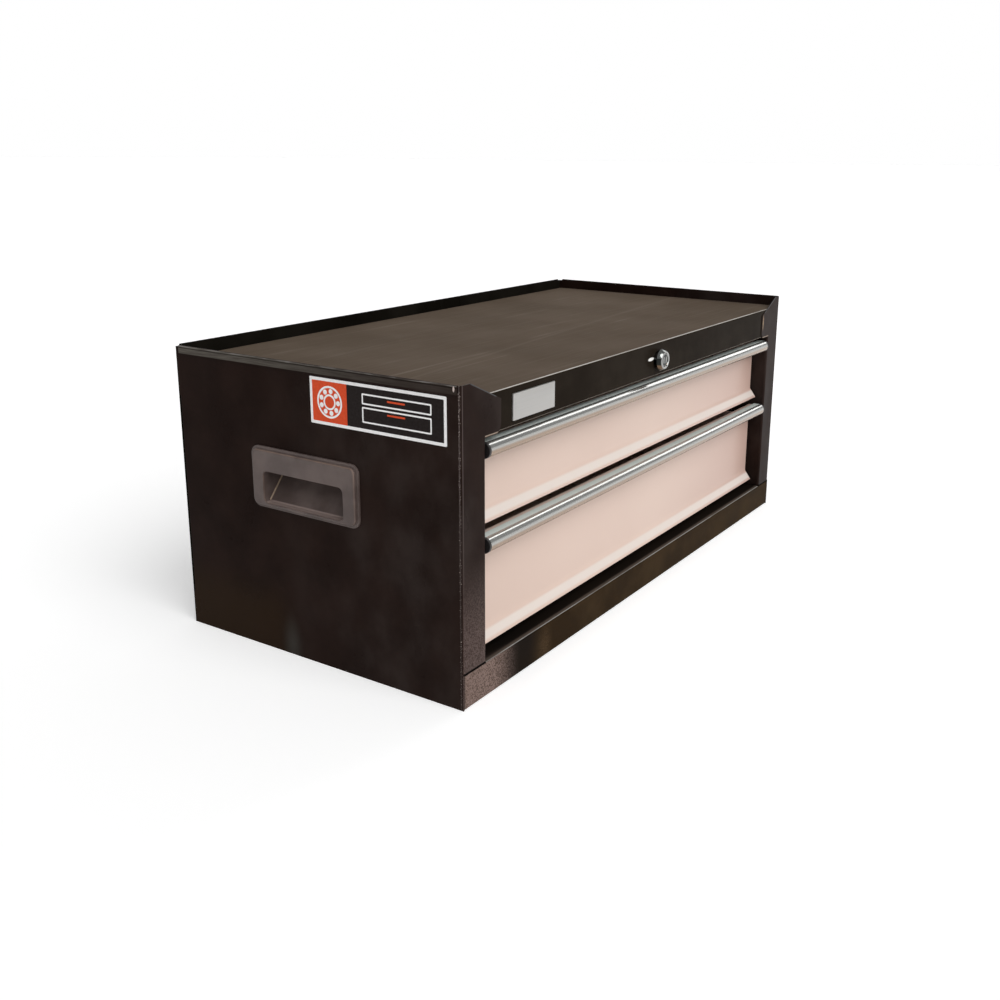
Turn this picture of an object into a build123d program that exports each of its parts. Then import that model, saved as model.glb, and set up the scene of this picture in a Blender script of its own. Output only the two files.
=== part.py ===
# Intermediate tool chest: a folded steel case with two drawers on ball slides, a bar lock and side grips.
# Millimetres. +X is to the right of someone who faces the drawers, -Y is the front and +Z is up.
# The origin is the middle of the case's footprint, on the surface that the chest stands on.
import os
from math import cos, radians, sin

from build123d import *

os.makedirs("parts", exist_ok=True)

# One overrun serves all cuts.
overrun = 2.0

# Case
case_width = 660.0
case_depth = 317.0
case_height = 267.4
case_sheet = 0.9
bend_radius = 1.6
weld_flange = 14.0
seam = 0.6

# Rims round the deck, each with a hem folded to the outside
rim_rise = 12.0
hem_height = 7.4
hem_gap = 0.5
hem_setback = 3.7
corner_relief = 5.0
corner_drop = 1.5
hem_round_share = 0.46

# Front posts, with the tabs that lap over the ends of the header
post_width = 31.4
post_return = 44.0
tab_width = 52.6
tab_shoulder = 12.0
tab_slope_drop = 18.6
tab_corner = 8.0

# Header below the deck, and rail below the drawers
header_height = 33.5
header_return = 14.0
rail_height = 31.0
rail_ledge = 30.0
rail_ledge_lip = 9.0
rail_end_gap = 1.2

# Drawer fronts
drawer_sheet = 0.8
face_setback = 17.0
face_side_gap = 4.6
floor_gap = 9.0
drawer_gap = 8.5
head_gap = 5.6
lower_front_share = 0.58
front_bend = 1.2
lip_height = 10.0
lip_reach = 7.5
lip_bend = 4.0

# Drawer pulls: an extruded nose that grips the front's top flange, with a cap on each end
pull_height = 13.4
pull_proud = 2.5
pull_depth = 13.0
pull_wall = 1.2
pull_round = 6.1
pull_hook = 9.5
flange_clearance = 0.05
pull_rib_share = 0.42
cap_thickness = 2.5
cap_stub_radius = 3.4
cap_stub_length = 8.0

# Drawer trays
tray_rear_room = 24.3
tray_lift = 4.0
tray_drop = 12.0
tray_hem = 6.0
tray_hem_gap = 0.8
tray_side_gap = 0.4
tray_bend = 0.75

# Ball slides
slide_rise = 27.0
slide_setback = 2.0
slide_rear_gap = 4.0
slide_height = 27.0
slide_sheet = 1.2
slide_lip = 1.4
slide_bend = 1.0
runner_gap = 0.7
ball_diameter = 4.5
ball_clearance = 0.3
cage_sheet = 0.4
cage_length = 74.0
cage_edge = 0.95
cage_hole_clearance = 0.15
balls_per_row = 4

# Rear uprights that carry the slides
upright_width = 28.0
upright_foot = 14.0

# Recessed side grips
grip_width = 122.0
grip_height = 55.0
grip_centre_back = 6.0
grip_height_share = 0.606
grip_flange = 1.8
grip_proud = 4.6
grip_step = 2.6
grip_corner = 8.0
grip_edge_round = 1.6
mouth_width = 92.0
mouth_height = 29.0
mouth_sill = 5.0
mouth_corner = 5.0
pocket_depth = 25.0
pocket_rise = 27.0
pocket_headroom = 14.0
band_thickness = 6.0
grip_wall = 2.2
grip_hole_clearance = 0.4
lug_length = 10.0
lug_reach = 1.6
lug_depth = 5.0
lug_clearance = 0.2

# Lock
lock_rise = 16.1
lock_proud = 8.6
lock_head_radius = 10.0
lock_head_round = 1.5
lock_barrel_radius = 9.0
lock_barrel_length = 18.0
lock_recess = 0.6
lock_hole_clearance = 0.05
plug_radius = 6.0
plug_tail = 2.0
plug_shoulder_radius = 7.4
running_clearance = 0.08
keyway_width = 2.0
keyway_height = 8.0
keyway_depth = 9.0
nut_sides = 6
nut_across_flats = 24.0
nut_thickness = 4.0
rod_radius = 3.0

# Lock bar at the back of the case
bar_width = 40.0
bar_sheet = 2.0
bar_standoff = 4.6
bar_margin = 3.5
bar_tail = 8.0
crank_radius = 10.0
crank_half_turn = 45.0
crank_width = 9.0
crank_sheet = 2.5
crank_gap = 0.8
pin_radius = 2.5
pin_overhang = 2.0
slot_clearance = 0.5
hook_offset = 13.0
hook_width = 10.0
hook_overlap = 6.5
hook_play = 1.8
catch_sheet = 1.5
catch_width = 16.0
catch_leaf = 14.0
catch_rise_share = 0.55
catch_lip = 9.0
catch_bar_gap = 4.0
catch_clearance = 1.5
guide_sheet = 1.0
guide_bend = 1.3
guide_foot = 14.0
guide_height = 10.0
guide_gap = 4.0
guide_clearance = 0.5
hanger_sheet = 1.5
hanger_width = 26.0
hanger_inset = 40.0
hanger_flange = 14.0
hanger_margin = 6.0

# Planes of the case that the pieces share
half_sheet = case_sheet / 2
half_width = case_width / 2
front = -case_depth / 2
rear = case_depth / 2
front_mid = front + half_sheet
wall_mid = half_width - half_sheet
wall_inner = half_width - case_sheet
back_inner = rear - case_sheet
header_face = front + case_sheet
header_back = header_face + case_sheet
deck_top = case_height - rim_rise
deck_mid = deck_top - half_sheet
deck_under = deck_top - case_sheet
header_bottom = deck_top - header_height
post_inner = half_width - post_width
post_foot = rail_height + seam
post_head = header_bottom - seam
tab_edge = half_width - tab_width
hem_foot = case_height - hem_height
hem_pitch = case_sheet + hem_gap
hem_top = case_height - half_sheet
hem_round = hem_pitch * hem_round_share
hem_front = front + hem_setback
hem_rear = rear - corner_relief
bend_outer = bend_radius + half_sheet

# Planes of the drawers
face_y = front + face_setback
face_mid = face_y + drawer_sheet / 2
face_half = post_inner - face_side_gap
tray_front = face_y + drawer_sheet
tray_back = back_inner - tray_rear_room
nose_y = front - pull_proud
pull_half = face_half
lower_tip = rail_height + floor_gap
upper_top = header_bottom - head_gap
lower_top = lower_tip + (upper_top - lower_tip - drawer_gap) * lower_front_share
upper_tip = lower_top + drawer_gap
levels = {"upper": (upper_tip, upper_top), "lower": (lower_tip, lower_top)}

# Section of the slides: depths run from the rail's back at the post towards the tray
ball_radius = ball_diameter / 2
rail_half = slide_height / 2
ball_row = rail_half - slide_sheet - ball_clearance - ball_radius
runner_half = ball_row - ball_radius - ball_clearance
cage_web = slide_sheet + ball_clearance
runner_tip = cage_web + cage_sheet + ball_clearance
ball_depth = runner_tip + slide_sheet + ball_clearance + ball_radius
cage_reach = ball_depth + ball_radius + cage_hole_clearance + cage_edge
rail_lip_face = cage_reach + ball_clearance
rail_depth = rail_lip_face + slide_sheet
slide_width = rail_depth + runner_gap + slide_sheet
tray_half = post_inner - slide_width
slide_front = tray_front + slide_setback
slide_rear = tray_back - slide_rear_gap
slide_length = slide_rear - slide_front
upright_front = slide_rear - upright_width

# Places on the lock bar
lock_z = header_bottom + lock_rise
bar_back = back_inner - bar_standoff
bar_front = bar_back - bar_sheet
crank_back = bar_front - crank_gap
crank_front = crank_back - crank_sheet
pin_side = crank_radius * cos(radians(crank_half_turn))
pin_rise = crank_radius * sin(radians(crank_half_turn))
bar_drop = 2 * pin_rise
catch_lip_back = bar_front - catch_bar_gap
catch_lip_front = catch_lip_back - catch_sheet
hook_back = catch_lip_front - hook_play


def tray_floor(level):
    """Height of the underside of a drawer's tray."""
    return levels[level][0] + tray_lift


def tray_top(level):
    """Height of the top edge of a drawer's tray."""
    return levels[level][1] - tray_drop


def slide_centre(level):
    """Height of the middle of a drawer's slides."""
    return tray_floor(level) + slide_rise


def catch_leg(level):
    """Height of the middle of the level leg of a drawer's catch."""
    return tray_floor(level) + (tray_top(level) - tray_floor(level)) * catch_rise_share


def catch_top(level):
    """Height of the top of the lip that the lock bar hooks behind."""
    return catch_leg(level) + catch_sheet / 2 + catch_lip


def hook_arm(level):
    """Height of the underside of a hook's arm with the lock open."""
    return catch_top(level) + catch_clearance + bar_drop


def folded(points, sheet, radius):
    """Section of a sheet folded along points, which run along the middle of its thickness."""
    with BuildSketch() as section:
        with BuildLine():
            FilletPolyline(*points, radius=radius)
        trace(line_width=sheet)
    return section.sketch


def write(piece, name):
    """Label a finished piece and write it."""
    piece.part.label = name
    export_step(piece.part, f"parts/{name}.step")


def write_pair(left, name):
    """Write a left-hand piece and its mirror image on the right."""
    with BuildPart() as right:
        mirror(left.part, about=Plane.YZ)
    write(left, name)
    write(right, name.replace("left", "right"))


# Side panels: one blank each, folded into wall, front post and return, with a tab at header height,
# a rear weld flange and a rim hemmed to the outside.
grip_centre_height = case_height * grip_height_share
grip_floor = grip_centre_height - grip_height / 2
mouth_bottom = grip_floor + mouth_sill
mouth_top = mouth_bottom + mouth_height
pocket_top = mouth_top + pocket_headroom
hole_bottom = mouth_bottom - grip_wall - grip_hole_clearance
hole_top = pocket_top + grip_wall + grip_hole_clearance
hole_width = mouth_width + 2 * (grip_wall + grip_hole_clearance)

with BuildPart() as left_side_panel:
    with BuildSketch():
        with Locations((-wall_mid, (front + back_inner) / 2)):
            Rectangle(case_sheet, back_inner - front)
    extrude(amount=post_foot)
    with BuildSketch(Plane.XY.offset(post_foot)):
        flange_y = back_inner - half_sheet
        return_x = -post_inner - half_sheet
        add(
            folded(
                [
                    (weld_flange - half_width, flange_y),
                    (-wall_mid, flange_y),
                    (-wall_mid, front_mid),
                    (return_x, front_mid),
                    (return_x, front + post_return),
                ],
                case_sheet,
                bend_radius,
            )
        )
    extrude(amount=post_head - post_foot)
    with BuildSketch(Plane.XY.offset(post_head)):
        add(
            folded(
                [(-wall_mid, back_inner), (-wall_mid, front_mid), (-tab_edge, front_mid)],
                case_sheet,
                bend_radius,
            )
        )
    extrude(amount=hem_foot - post_head)
    with BuildSketch(Plane.XY.offset(hem_foot)):
        add(
            folded(
                [(-wall_mid, hem_front - seam), (-wall_mid, front_mid), (-tab_edge, front_mid)],
                case_sheet,
                bend_radius,
            )
        )
    extrude(amount=hem_height)
    with BuildSketch(Plane.XZ.offset(-hem_rear)):
        add(
            folded(
                [
                    (-wall_mid, hem_foot),
                    (-wall_mid, hem_top),
                    (-wall_mid - hem_pitch, hem_top),
                    (-wall_mid - hem_pitch, hem_foot),
                ],
                case_sheet,
                hem_round,
            )
        )
    extrude(amount=hem_rear - hem_front)
    # slope on top of the tab, and the round at its lower corner
    with BuildSketch(Plane.XZ.offset(-header_face)):
        with BuildLine():
            Polyline(
                (tab_shoulder - half_width, case_height),
                (-tab_edge, case_height - tab_slope_drop),
                (-tab_edge + overrun, case_height - tab_slope_drop),
                (-tab_edge + overrun, case_height + overrun),
                (tab_shoulder - half_width, case_height + overrun),
                close=True,
            )
        make_face()
    extrude(amount=case_sheet + overrun, mode=Mode.SUBTRACT)
    cross_edges = left_side_panel.edges().filter_by(Axis.Y)
    tab_foot = cross_edges.sort_by_distance((-tab_edge, front, post_head))[0]
    fillet(tab_foot, radius=tab_corner)
    # hole for the grip's pocket
    with BuildSketch(Plane.YZ.offset(-half_width - overrun)):
        with Locations((grip_centre_back, (hole_bottom + hole_top) / 2)):
            Rectangle(hole_width, hole_top - hole_bottom)
    extrude(amount=case_sheet + 2 * overrun, mode=Mode.SUBTRACT)
write_pair(left_side_panel, "left_side_panel")

# Back panel: a flat sheet over the ends of the side panels, with the rear rim hemmed to the outside.
with BuildPart() as back_panel:
    with BuildSketch(Plane.XZ.offset(-rear)):
        corner_top = case_height - corner_drop
        with Locations((0, corner_top / 2)):
            Rectangle(case_width, corner_top)
    extrude(amount=case_sheet)
    with BuildSketch(Plane.YZ):
        back_mid = rear - half_sheet
        add(
            folded(
                [
                    (back_mid, hem_foot),
                    (back_mid, hem_top),
                    (back_mid + hem_pitch, hem_top),
                    (back_mid + hem_pitch, hem_foot),
                ],
                case_sheet,
                hem_round,
            )
        )
    extrude(amount=half_width - corner_relief, both=True)
write(back_panel, "back_panel")

# Top panel: the deck folded down into the header, with weld flanges along the sides and the back.
with BuildPart() as top_panel:
    with BuildSketch(Plane.YZ):
        header_mid = header_face + half_sheet
        header_foot = header_bottom + half_sheet
        add(
            folded(
                [
                    (back_inner - half_sheet, deck_top - weld_flange),
                    (back_inner - half_sheet, deck_mid),
                    (header_mid, deck_mid),
                    (header_mid, header_foot),
                    (header_mid + header_return, header_foot),
                ],
                case_sheet,
                bend_radius,
            )
        )
    extrude(amount=wall_inner - bend_outer, both=True)
    with BuildSketch(Plane.XY.offset(deck_under)):
        with Locations((0, (header_face + back_inner) / 2)):
            Rectangle(2 * wall_inner, back_inner - header_face - 2 * bend_outer)
    extrude(amount=case_sheet)
    with BuildSketch(Plane.XZ.offset(weld_flange - back_inner)):
        side_flange_x = wall_inner - half_sheet
        with Locations(*[(side * side_flange_x, deck_top - weld_flange / 2) for side in (-1, 1)]):
            Rectangle(case_sheet, weld_flange)
    extrude(amount=back_inner - header_back - 2 * weld_flange)
    with BuildSketch(Plane.XZ.offset(-header_back - overrun)):
        with Locations((0, lock_z)):
            Circle(lock_barrel_radius + lock_hole_clearance)
    extrude(amount=case_sheet + 2 * overrun, mode=Mode.SUBTRACT)
write(top_panel, "top_panel")

# Bottom panel: the floor folded up at the front into the rail, its ledge and the ledge's lip.
with BuildPart() as bottom_panel:
    with BuildSketch(Plane.YZ):
        ledge_mid = rail_height - half_sheet
        ledge_end = front_mid + rail_ledge
        add(
            folded(
                [
                    (ledge_end, ledge_mid - rail_ledge_lip),
                    (ledge_end, ledge_mid),
                    (front_mid, ledge_mid),
                    (front_mid, half_sheet),
                    (ledge_end, half_sheet),
                ],
                case_sheet,
                bend_radius,
            )
        )
    extrude(amount=wall_inner - rail_end_gap, both=True)
    with BuildSketch(Plane.YZ):
        floor_end = back_inner - half_sheet
        add(
            folded(
                [(front + bend_outer, half_sheet), (floor_end, half_sheet), (floor_end, weld_flange)],
                case_sheet,
                bend_radius,
            )
        )
    extrude(amount=wall_inner, both=True)
write(bottom_panel, "bottom_panel")

# Rear uprights: folded strips that stand on the floor, welded to the side walls, and carry the slides'
# rear ends.
with BuildPart() as left_slide_upright:
    with BuildSketch(Plane.XY.offset(case_sheet)):
        foot_x = half_sheet - wall_inner
        web_x = -post_inner - half_sheet
        leg_y = upright_front + half_sheet
        add(
            folded(
                [
                    (foot_x, leg_y - upright_foot),
                    (foot_x, leg_y),
                    (web_x, leg_y),
                    (web_x, slide_rear),
                ],
                case_sheet,
                bend_radius,
            )
        )
    extrude(amount=post_head - case_sheet)
write_pair(left_slide_upright, "left_slide_upright")

# Side grips: a moulded bezel with a stepped edge, a scoop that slopes in from the sill and rises behind
# the wide top band, and snap lugs that hold it in the wall.
bezel_face = half_width + grip_proud
pocket_back = half_width - pocket_depth
band_back = bezel_face - band_thickness
with BuildPart() as left_side_grip:
    with BuildSketch(Plane.YZ.offset(-half_width)):
        with Locations((grip_centre_back, grip_centre_height)):
            RectangleRounded(grip_width, grip_height, grip_corner)
    extrude(amount=-grip_flange)
    with BuildSketch(Plane.YZ.offset(-half_width - grip_flange)):
        with Locations((grip_centre_back, grip_centre_height)):
            RectangleRounded(
                grip_width - 2 * grip_step,
                grip_height - 2 * grip_step,
                grip_corner - grip_step,
            )
    extrude(amount=grip_flange - grip_proud)
    fillet(left_side_grip.faces().sort_by(Axis.X)[0].edges(), radius=grip_edge_round)
    with BuildSketch(Plane.XZ.offset(-grip_centre_back)):
        with BuildLine():
            Polyline(
                (-half_width, mouth_bottom - grip_wall),
                (-half_width + grip_wall, mouth_bottom - grip_wall),
                (-pocket_back + grip_wall, mouth_bottom + pocket_rise - grip_wall),
                (-pocket_back + grip_wall, pocket_top + grip_wall),
                (-half_width, pocket_top + grip_wall),
                close=True,
            )
        make_face()
    extrude(amount=mouth_width / 2 + grip_wall, both=True)
    # mouth through the bezel, with rounded corners, then the scoop behind it
    with BuildSketch(Plane.YZ.offset(-bezel_face - overrun)):
        with Locations((grip_centre_back, (mouth_bottom + mouth_top) / 2)):
            RectangleRounded(mouth_width, mouth_height, mouth_corner)
    extrude(amount=band_thickness + overrun, mode=Mode.SUBTRACT)
    with BuildSketch(Plane.XZ.offset(-grip_centre_back)):
        with BuildLine():
            Polyline(
                (-band_back, mouth_bottom),
                (-half_width + grip_wall, mouth_bottom),
                (-pocket_back, mouth_bottom + pocket_rise),
                (-pocket_back, pocket_top),
                (-band_back, pocket_top),
                close=True,
            )
        make_face()
    extrude(amount=mouth_width / 2, both=True, mode=Mode.SUBTRACT)
    # snap lugs at both ends, just behind the sheet of the wall
    with BuildSketch(Plane.XY.offset(grip_centre_height - lug_length / 2)):
        lug_x = lug_clearance - wall_inner
        for end in (-1, 1):
            lug_y = grip_centre_back + end * (mouth_width / 2 + grip_wall)
            with BuildLine():
                Polyline(
                    (lug_x, lug_y - end * grip_wall / 2),
                    (lug_x, lug_y + end * lug_reach),
                    (lug_x + lug_depth, lug_y - end * grip_wall / 2),
                    close=True,
                )
            make_face()
    extrude(amount=lug_length)
write_pair(left_side_grip, "left_side_grip")


# Slide rails: lipped channels, welded to the post returns and the rear uprights.
def slide_rail(level):
    """Left rail of one drawer's slides."""
    web_x = slide_sheet / 2 - post_inner
    lip_x = rail_depth - slide_sheet / 2 - post_inner
    flange_rise = rail_half - slide_sheet / 2
    lip_rise = rail_half - slide_sheet - slide_lip
    with BuildPart() as rail:
        with BuildSketch(Plane.XZ.offset(-slide_rear)):
            with Locations((0, slide_centre(level))):
                add(
                    folded(
                        [
                            (lip_x, lip_rise),
                            (lip_x, flange_rise),
                            (web_x, flange_rise),
                            (web_x, -flange_rise),
                            (lip_x, -flange_rise),
                            (lip_x, -lip_rise),
                        ],
                        slide_sheet,
                        slide_bend,
                    )
                )
        extrude(amount=slide_length)
    return rail


# Runners: the inner members, welded to the drawer's sides, with lips that turn out round the balls.
def slide_runner(level):
    """Left runner of one drawer's slides."""
    web_x = -tray_half - slide_sheet / 2
    lip_x = runner_tip + slide_sheet / 2 - post_inner
    flange_rise = runner_half - slide_sheet / 2
    lip_rise = runner_half + slide_lip
    with BuildPart() as runner:
        with BuildSketch(Plane.XZ.offset(-slide_rear)):
            with Locations((0, slide_centre(level))):
                add(
                    folded(
                        [
                            (lip_x, lip_rise),
                            (lip_x, flange_rise),
                            (web_x, flange_rise),
                            (web_x, -flange_rise),
                            (lip_x, -flange_rise),
                            (lip_x, -lip_rise),
                        ],
                        slide_sheet,
                        slide_bend,
                    )
                )
        extrude(amount=slide_length)
    return runner


# Ball cages: thin channels with a row of holes along each flange, midway along the slides at rest.
cage_centre = (slide_front + slide_rear) / 2
ball_pitch = cage_length / balls_per_row
first_ball = cage_centre - ball_pitch * (balls_per_row - 1) / 2
ball_places = [first_ball + ball_pitch * index for index in range(balls_per_row)]


def ball_cage(level):
    """Left ball cage of one drawer's slides."""
    with BuildPart() as cage:
        with BuildSketch(Plane.XZ.offset(-cage_centre)):
            with Locations((cage_web + cage_sheet / 2 - post_inner, slide_centre(level))):
                Rectangle(cage_sheet, 2 * ball_row + cage_sheet)
            with Locations(*[
                ((cage_web + cage_reach) / 2 - post_inner, slide_centre(level) + end * ball_row)
                for end in (-1, 1)
            ]):
                Rectangle(cage_reach - cage_web, cage_sheet)
        extrude(amount=cage_length / 2, both=True)
        with BuildSketch(Plane.XY.offset(slide_centre(level))):
            with Locations(*[(ball_depth - post_inner, place) for place in ball_places]):
                Circle(ball_radius + cage_hole_clearance)
        extrude(amount=rail_half, both=True, mode=Mode.SUBTRACT)
    return cage


def slide_balls(level):
    """All the balls of one drawer's two slides."""
    with BuildPart() as balls:
        with Locations(*[
            (side * (post_inner - ball_depth), place, slide_centre(level) + end * ball_row)
            for side in (-1, 1)
            for end in (-1, 1)
            for place in ball_places
        ]):
            Sphere(ball_radius)
    return balls


# Drawer pans: front wall, floor and rear wall of a drawer, folded from one sheet.
def drawer_pan(level):
    """Pan of one drawer."""
    front_wall = tray_front + drawer_sheet / 2
    rear_wall = tray_back - drawer_sheet / 2
    floor_mid = tray_floor(level) + drawer_sheet / 2
    with BuildPart() as pan:
        with BuildSketch(Plane.YZ):
            add(
                folded(
                    [
                        (front_wall, tray_top(level)),
                        (front_wall, floor_mid),
                        (rear_wall, floor_mid),
                        (rear_wall, tray_top(level)),
                    ],
                    drawer_sheet,
                    tray_bend,
                )
            )
        extrude(amount=tray_half, both=True)
    return pan


# Drawer sides: strips that stand on the pan's floor between its walls, with the top edge hemmed inwards.
def drawer_side(level):
    """Left side of one drawer."""
    side_x = drawer_sheet / 2 - tray_half
    hem_x = side_x + drawer_sheet + tray_hem_gap
    hem_z = tray_top(level) - drawer_sheet / 2
    with BuildPart() as side:
        with BuildSketch(Plane.XZ.offset(drawer_sheet + tray_side_gap - tray_back)):
            add(
                folded(
                    [
                        (side_x, tray_floor(level) + drawer_sheet),
                        (side_x, hem_z),
                        (hem_x, hem_z),
                        (hem_x, hem_z - tray_hem),
                    ],
                    drawer_sheet,
                    tray_bend,
                )
            )
        extrude(amount=tray_back - tray_front - 2 * (drawer_sheet + tray_side_gap))
    return side


# Drawer fronts: a sheet with a kicked-out lip below and a flange above that the pull grips.
def drawer_front(level):
    """Painted front of one drawer."""
    tip, top = levels[level]
    flange_z = top - pull_wall - flange_clearance - drawer_sheet / 2
    with BuildPart() as panel:
        with BuildSketch(Plane.YZ):
            with BuildLine():
                FilletPolyline(
                    (nose_y + pull_round + pull_wall, flange_z),
                    (face_mid, flange_z),
                    (face_mid, (tip + top) / 2),
                    radius=front_bend,
                )
                FilletPolyline(
                    (face_mid, (tip + top) / 2),
                    (face_mid, tip + lip_height),
                    (face_mid - lip_reach, tip),
                    radius=lip_bend,
                )
            trace(line_width=drawer_sheet)
        extrude(amount=face_half, both=True)
    return panel


# Pulls: an extruded bull nose with a slot under its top that slides over the front's flange.
pull_outer_round = pull_round + pull_wall / 2
slot_height = drawer_sheet + 2 * flange_clearance


def drawer_pull(level):
    """Aluminium pull along the top of one drawer."""
    top = levels[level][1]
    top_mid = top - pull_wall / 2
    foot_mid = top - pull_height + pull_wall / 2
    nose_mid = nose_y + pull_wall / 2
    rib_front = nose_y + pull_round * pull_rib_share
    rib_rear = nose_y + pull_depth
    with BuildPart() as pull:
        with BuildSketch(Plane.YZ):
            add(
                folded(
                    [
                        (nose_y + pull_depth, top_mid),
                        (nose_mid, top_mid),
                        (nose_mid, foot_mid),
                        (nose_y + pull_hook, foot_mid),
                    ],
                    pull_wall,
                    pull_round,
                )
            )
            with Locations(((rib_front + rib_rear) / 2, top_mid - pull_wall - slot_height)):
                Rectangle(rib_rear - rib_front, pull_wall)
        extrude(amount=pull_half, both=True)
    return pull


def pull_cap(level):
    """Left end cap of one drawer's pull, with the stub that plugs into the nose."""
    top = levels[level][1]
    foot = top - pull_height
    with BuildPart() as cap:
        with BuildSketch(Plane.YZ.offset(-pull_half)):
            with BuildLine():
                nose = FilletPolyline(
                    (nose_y + pull_depth, top),
                    (nose_y, top),
                    (nose_y, foot),
                    (nose_y + pull_hook, foot),
                    radius=pull_outer_round,
                )
                Line(nose @ 1, nose @ 0)
            make_face()
        extrude(amount=-cap_thickness)
        with BuildSketch(Plane.YZ.offset(-pull_half)):
            with Locations((nose_y + pull_outer_round, foot + pull_outer_round - pull_wall)):
                Circle(cap_stub_radius)
        extrude(amount=cap_stub_length)
    return cap


# Catches: folded brackets on the backs of the trays, whose upturned lips the lock bar hooks behind.
def drawer_catch(level):
    """Lock catch on the back of one tray."""
    leg = catch_leg(level)
    leaf = tray_back + catch_sheet / 2
    lip = catch_lip_back - catch_sheet / 2
    with BuildPart() as catch:
        with BuildSketch(Plane.YZ.offset(-hook_offset)):
            add(
                folded(
                    [(leaf, leg - catch_leaf), (leaf, leg), (lip, leg), (lip, catch_top(level))],
                    catch_sheet,
                    catch_sheet,
                )
            )
        extrude(amount=catch_width / 2, both=True)
    return catch


for level in levels:
    write_pair(slide_rail(level), f"{level}_left_slide_rail")
    write_pair(slide_runner(level), f"{level}_left_slide_runner")
    write_pair(ball_cage(level), f"{level}_left_ball_cage")
    write(slide_balls(level), f"{level}_slide_balls")
    write(drawer_pan(level), f"{level}_drawer_pan")
    write_pair(drawer_side(level), f"{level}_left_drawer_side")
    write(drawer_front(level), f"{level}_drawer_front")
    write(drawer_pull(level), f"{level}_drawer_pull")
    write_pair(pull_cap(level), f"{level}_left_pull_cap")
    write(drawer_catch(level), f"{level}_drawer_catch")

# Lock housing: a round head on the header's face and a barrel through it.
with BuildPart() as lock_housing:
    with BuildSketch(Plane.XZ.offset(-header_face)):
        with Locations((0, lock_z)):
            Circle(lock_head_radius)
    extrude(amount=lock_proud)
    fillet(lock_housing.faces().sort_by(Axis.Y)[0].edges(), radius=lock_head_round)
    with BuildSketch(Plane.XZ.offset(-header_face)):
        with Locations((0, lock_z)):
            Circle(lock_barrel_radius)
    extrude(amount=-lock_barrel_length)
    with BuildSketch(Plane.XZ.offset(-header_face - lock_barrel_length)):
        with Locations((0, lock_z)):
            Circle(plug_radius + running_clearance)
    extrude(amount=lock_barrel_length + lock_proud + overrun, mode=Mode.SUBTRACT)
write(lock_housing, "lock_housing")

# Lock nut: a hexagon nut that clamps the barrel against the back of the header.
with BuildPart() as lock_nut:
    with BuildSketch(Plane.XZ.offset(-header_back)):
        with Locations((0, lock_z)):
            RegularPolygon(nut_across_flats / 2, nut_sides, major_radius=False)
            Circle(lock_barrel_radius + lock_hole_clearance, mode=Mode.SUBTRACT)
    extrude(amount=-nut_thickness)
write(lock_nut, "lock_nut")

# Lock plug: it turns in the housing, with the keyway in its face and a shoulder behind the barrel.
plug_face = header_face - lock_proud + lock_recess
barrel_end = header_face + lock_barrel_length
plug_end = barrel_end + running_clearance + plug_tail
with BuildPart() as lock_plug:
    with BuildSketch(Plane.XZ.offset(-plug_face)):
        with Locations((0, lock_z)):
            Circle(plug_radius)
    extrude(amount=plug_face - plug_end)
    with BuildSketch(Plane.XZ.offset(-barrel_end - running_clearance)):
        with Locations((0, lock_z)):
            Circle(plug_shoulder_radius)
    extrude(amount=-plug_tail)
    with BuildSketch(Plane.XZ.offset(-plug_face)):
        with Locations((0, lock_z)):
            Rectangle(keyway_width, keyway_height)
    extrude(amount=-keyway_depth, mode=Mode.SUBTRACT)
write(lock_plug, "lock_plug")

# Lock rod: it carries the plug's turn to the back of the case, under the deck.
with BuildPart() as lock_rod:
    with BuildSketch(Plane.XZ.offset(-plug_end)):
        with Locations((0, lock_z)):
            Circle(rod_radius)
    extrude(amount=plug_end - crank_front)
write(lock_rod, "lock_rod")

# Lock crank: a short arm on the end of the rod, with the pin that lifts the bar.
with BuildPart() as lock_crank:
    with BuildSketch(Plane.XZ.offset(-crank_front)):
        with Locations((pin_side / 2, lock_z + pin_rise / 2)):
            SlotCenterToCenter(crank_radius, crank_width, rotation=crank_half_turn)
    extrude(amount=-crank_sheet)
    with BuildSketch(Plane.XZ.offset(-crank_back)):
        with Locations((pin_side, lock_z + pin_rise)):
            Circle(pin_radius)
    extrude(amount=-(crank_gap + bar_sheet + pin_overhang))
write(lock_crank, "lock_crank")

# Rod hanger: a bracket under the deck that holds the rod's rear end.
hanger_y = back_inner - hanger_inset
with BuildPart() as rod_hanger:
    with BuildSketch(Plane.YZ):
        hanger_mid = deck_under - hanger_sheet / 2
        add(
            folded(
                [
                    (hanger_y + hanger_flange, hanger_mid),
                    (hanger_y, hanger_mid),
                    (hanger_y, lock_z - rod_radius - hanger_margin),
                ],
                hanger_sheet,
                hanger_sheet,
            )
        )
    extrude(amount=hanger_width / 2, both=True)
    with BuildSketch(Plane.XZ.offset(-hanger_y - hanger_sheet)):
        with Locations((0, lock_z)):
            Circle(rod_radius + running_clearance)
    extrude(amount=2 * hanger_sheet, mode=Mode.SUBTRACT)
write(rod_hanger, "rod_hanger")

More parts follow.
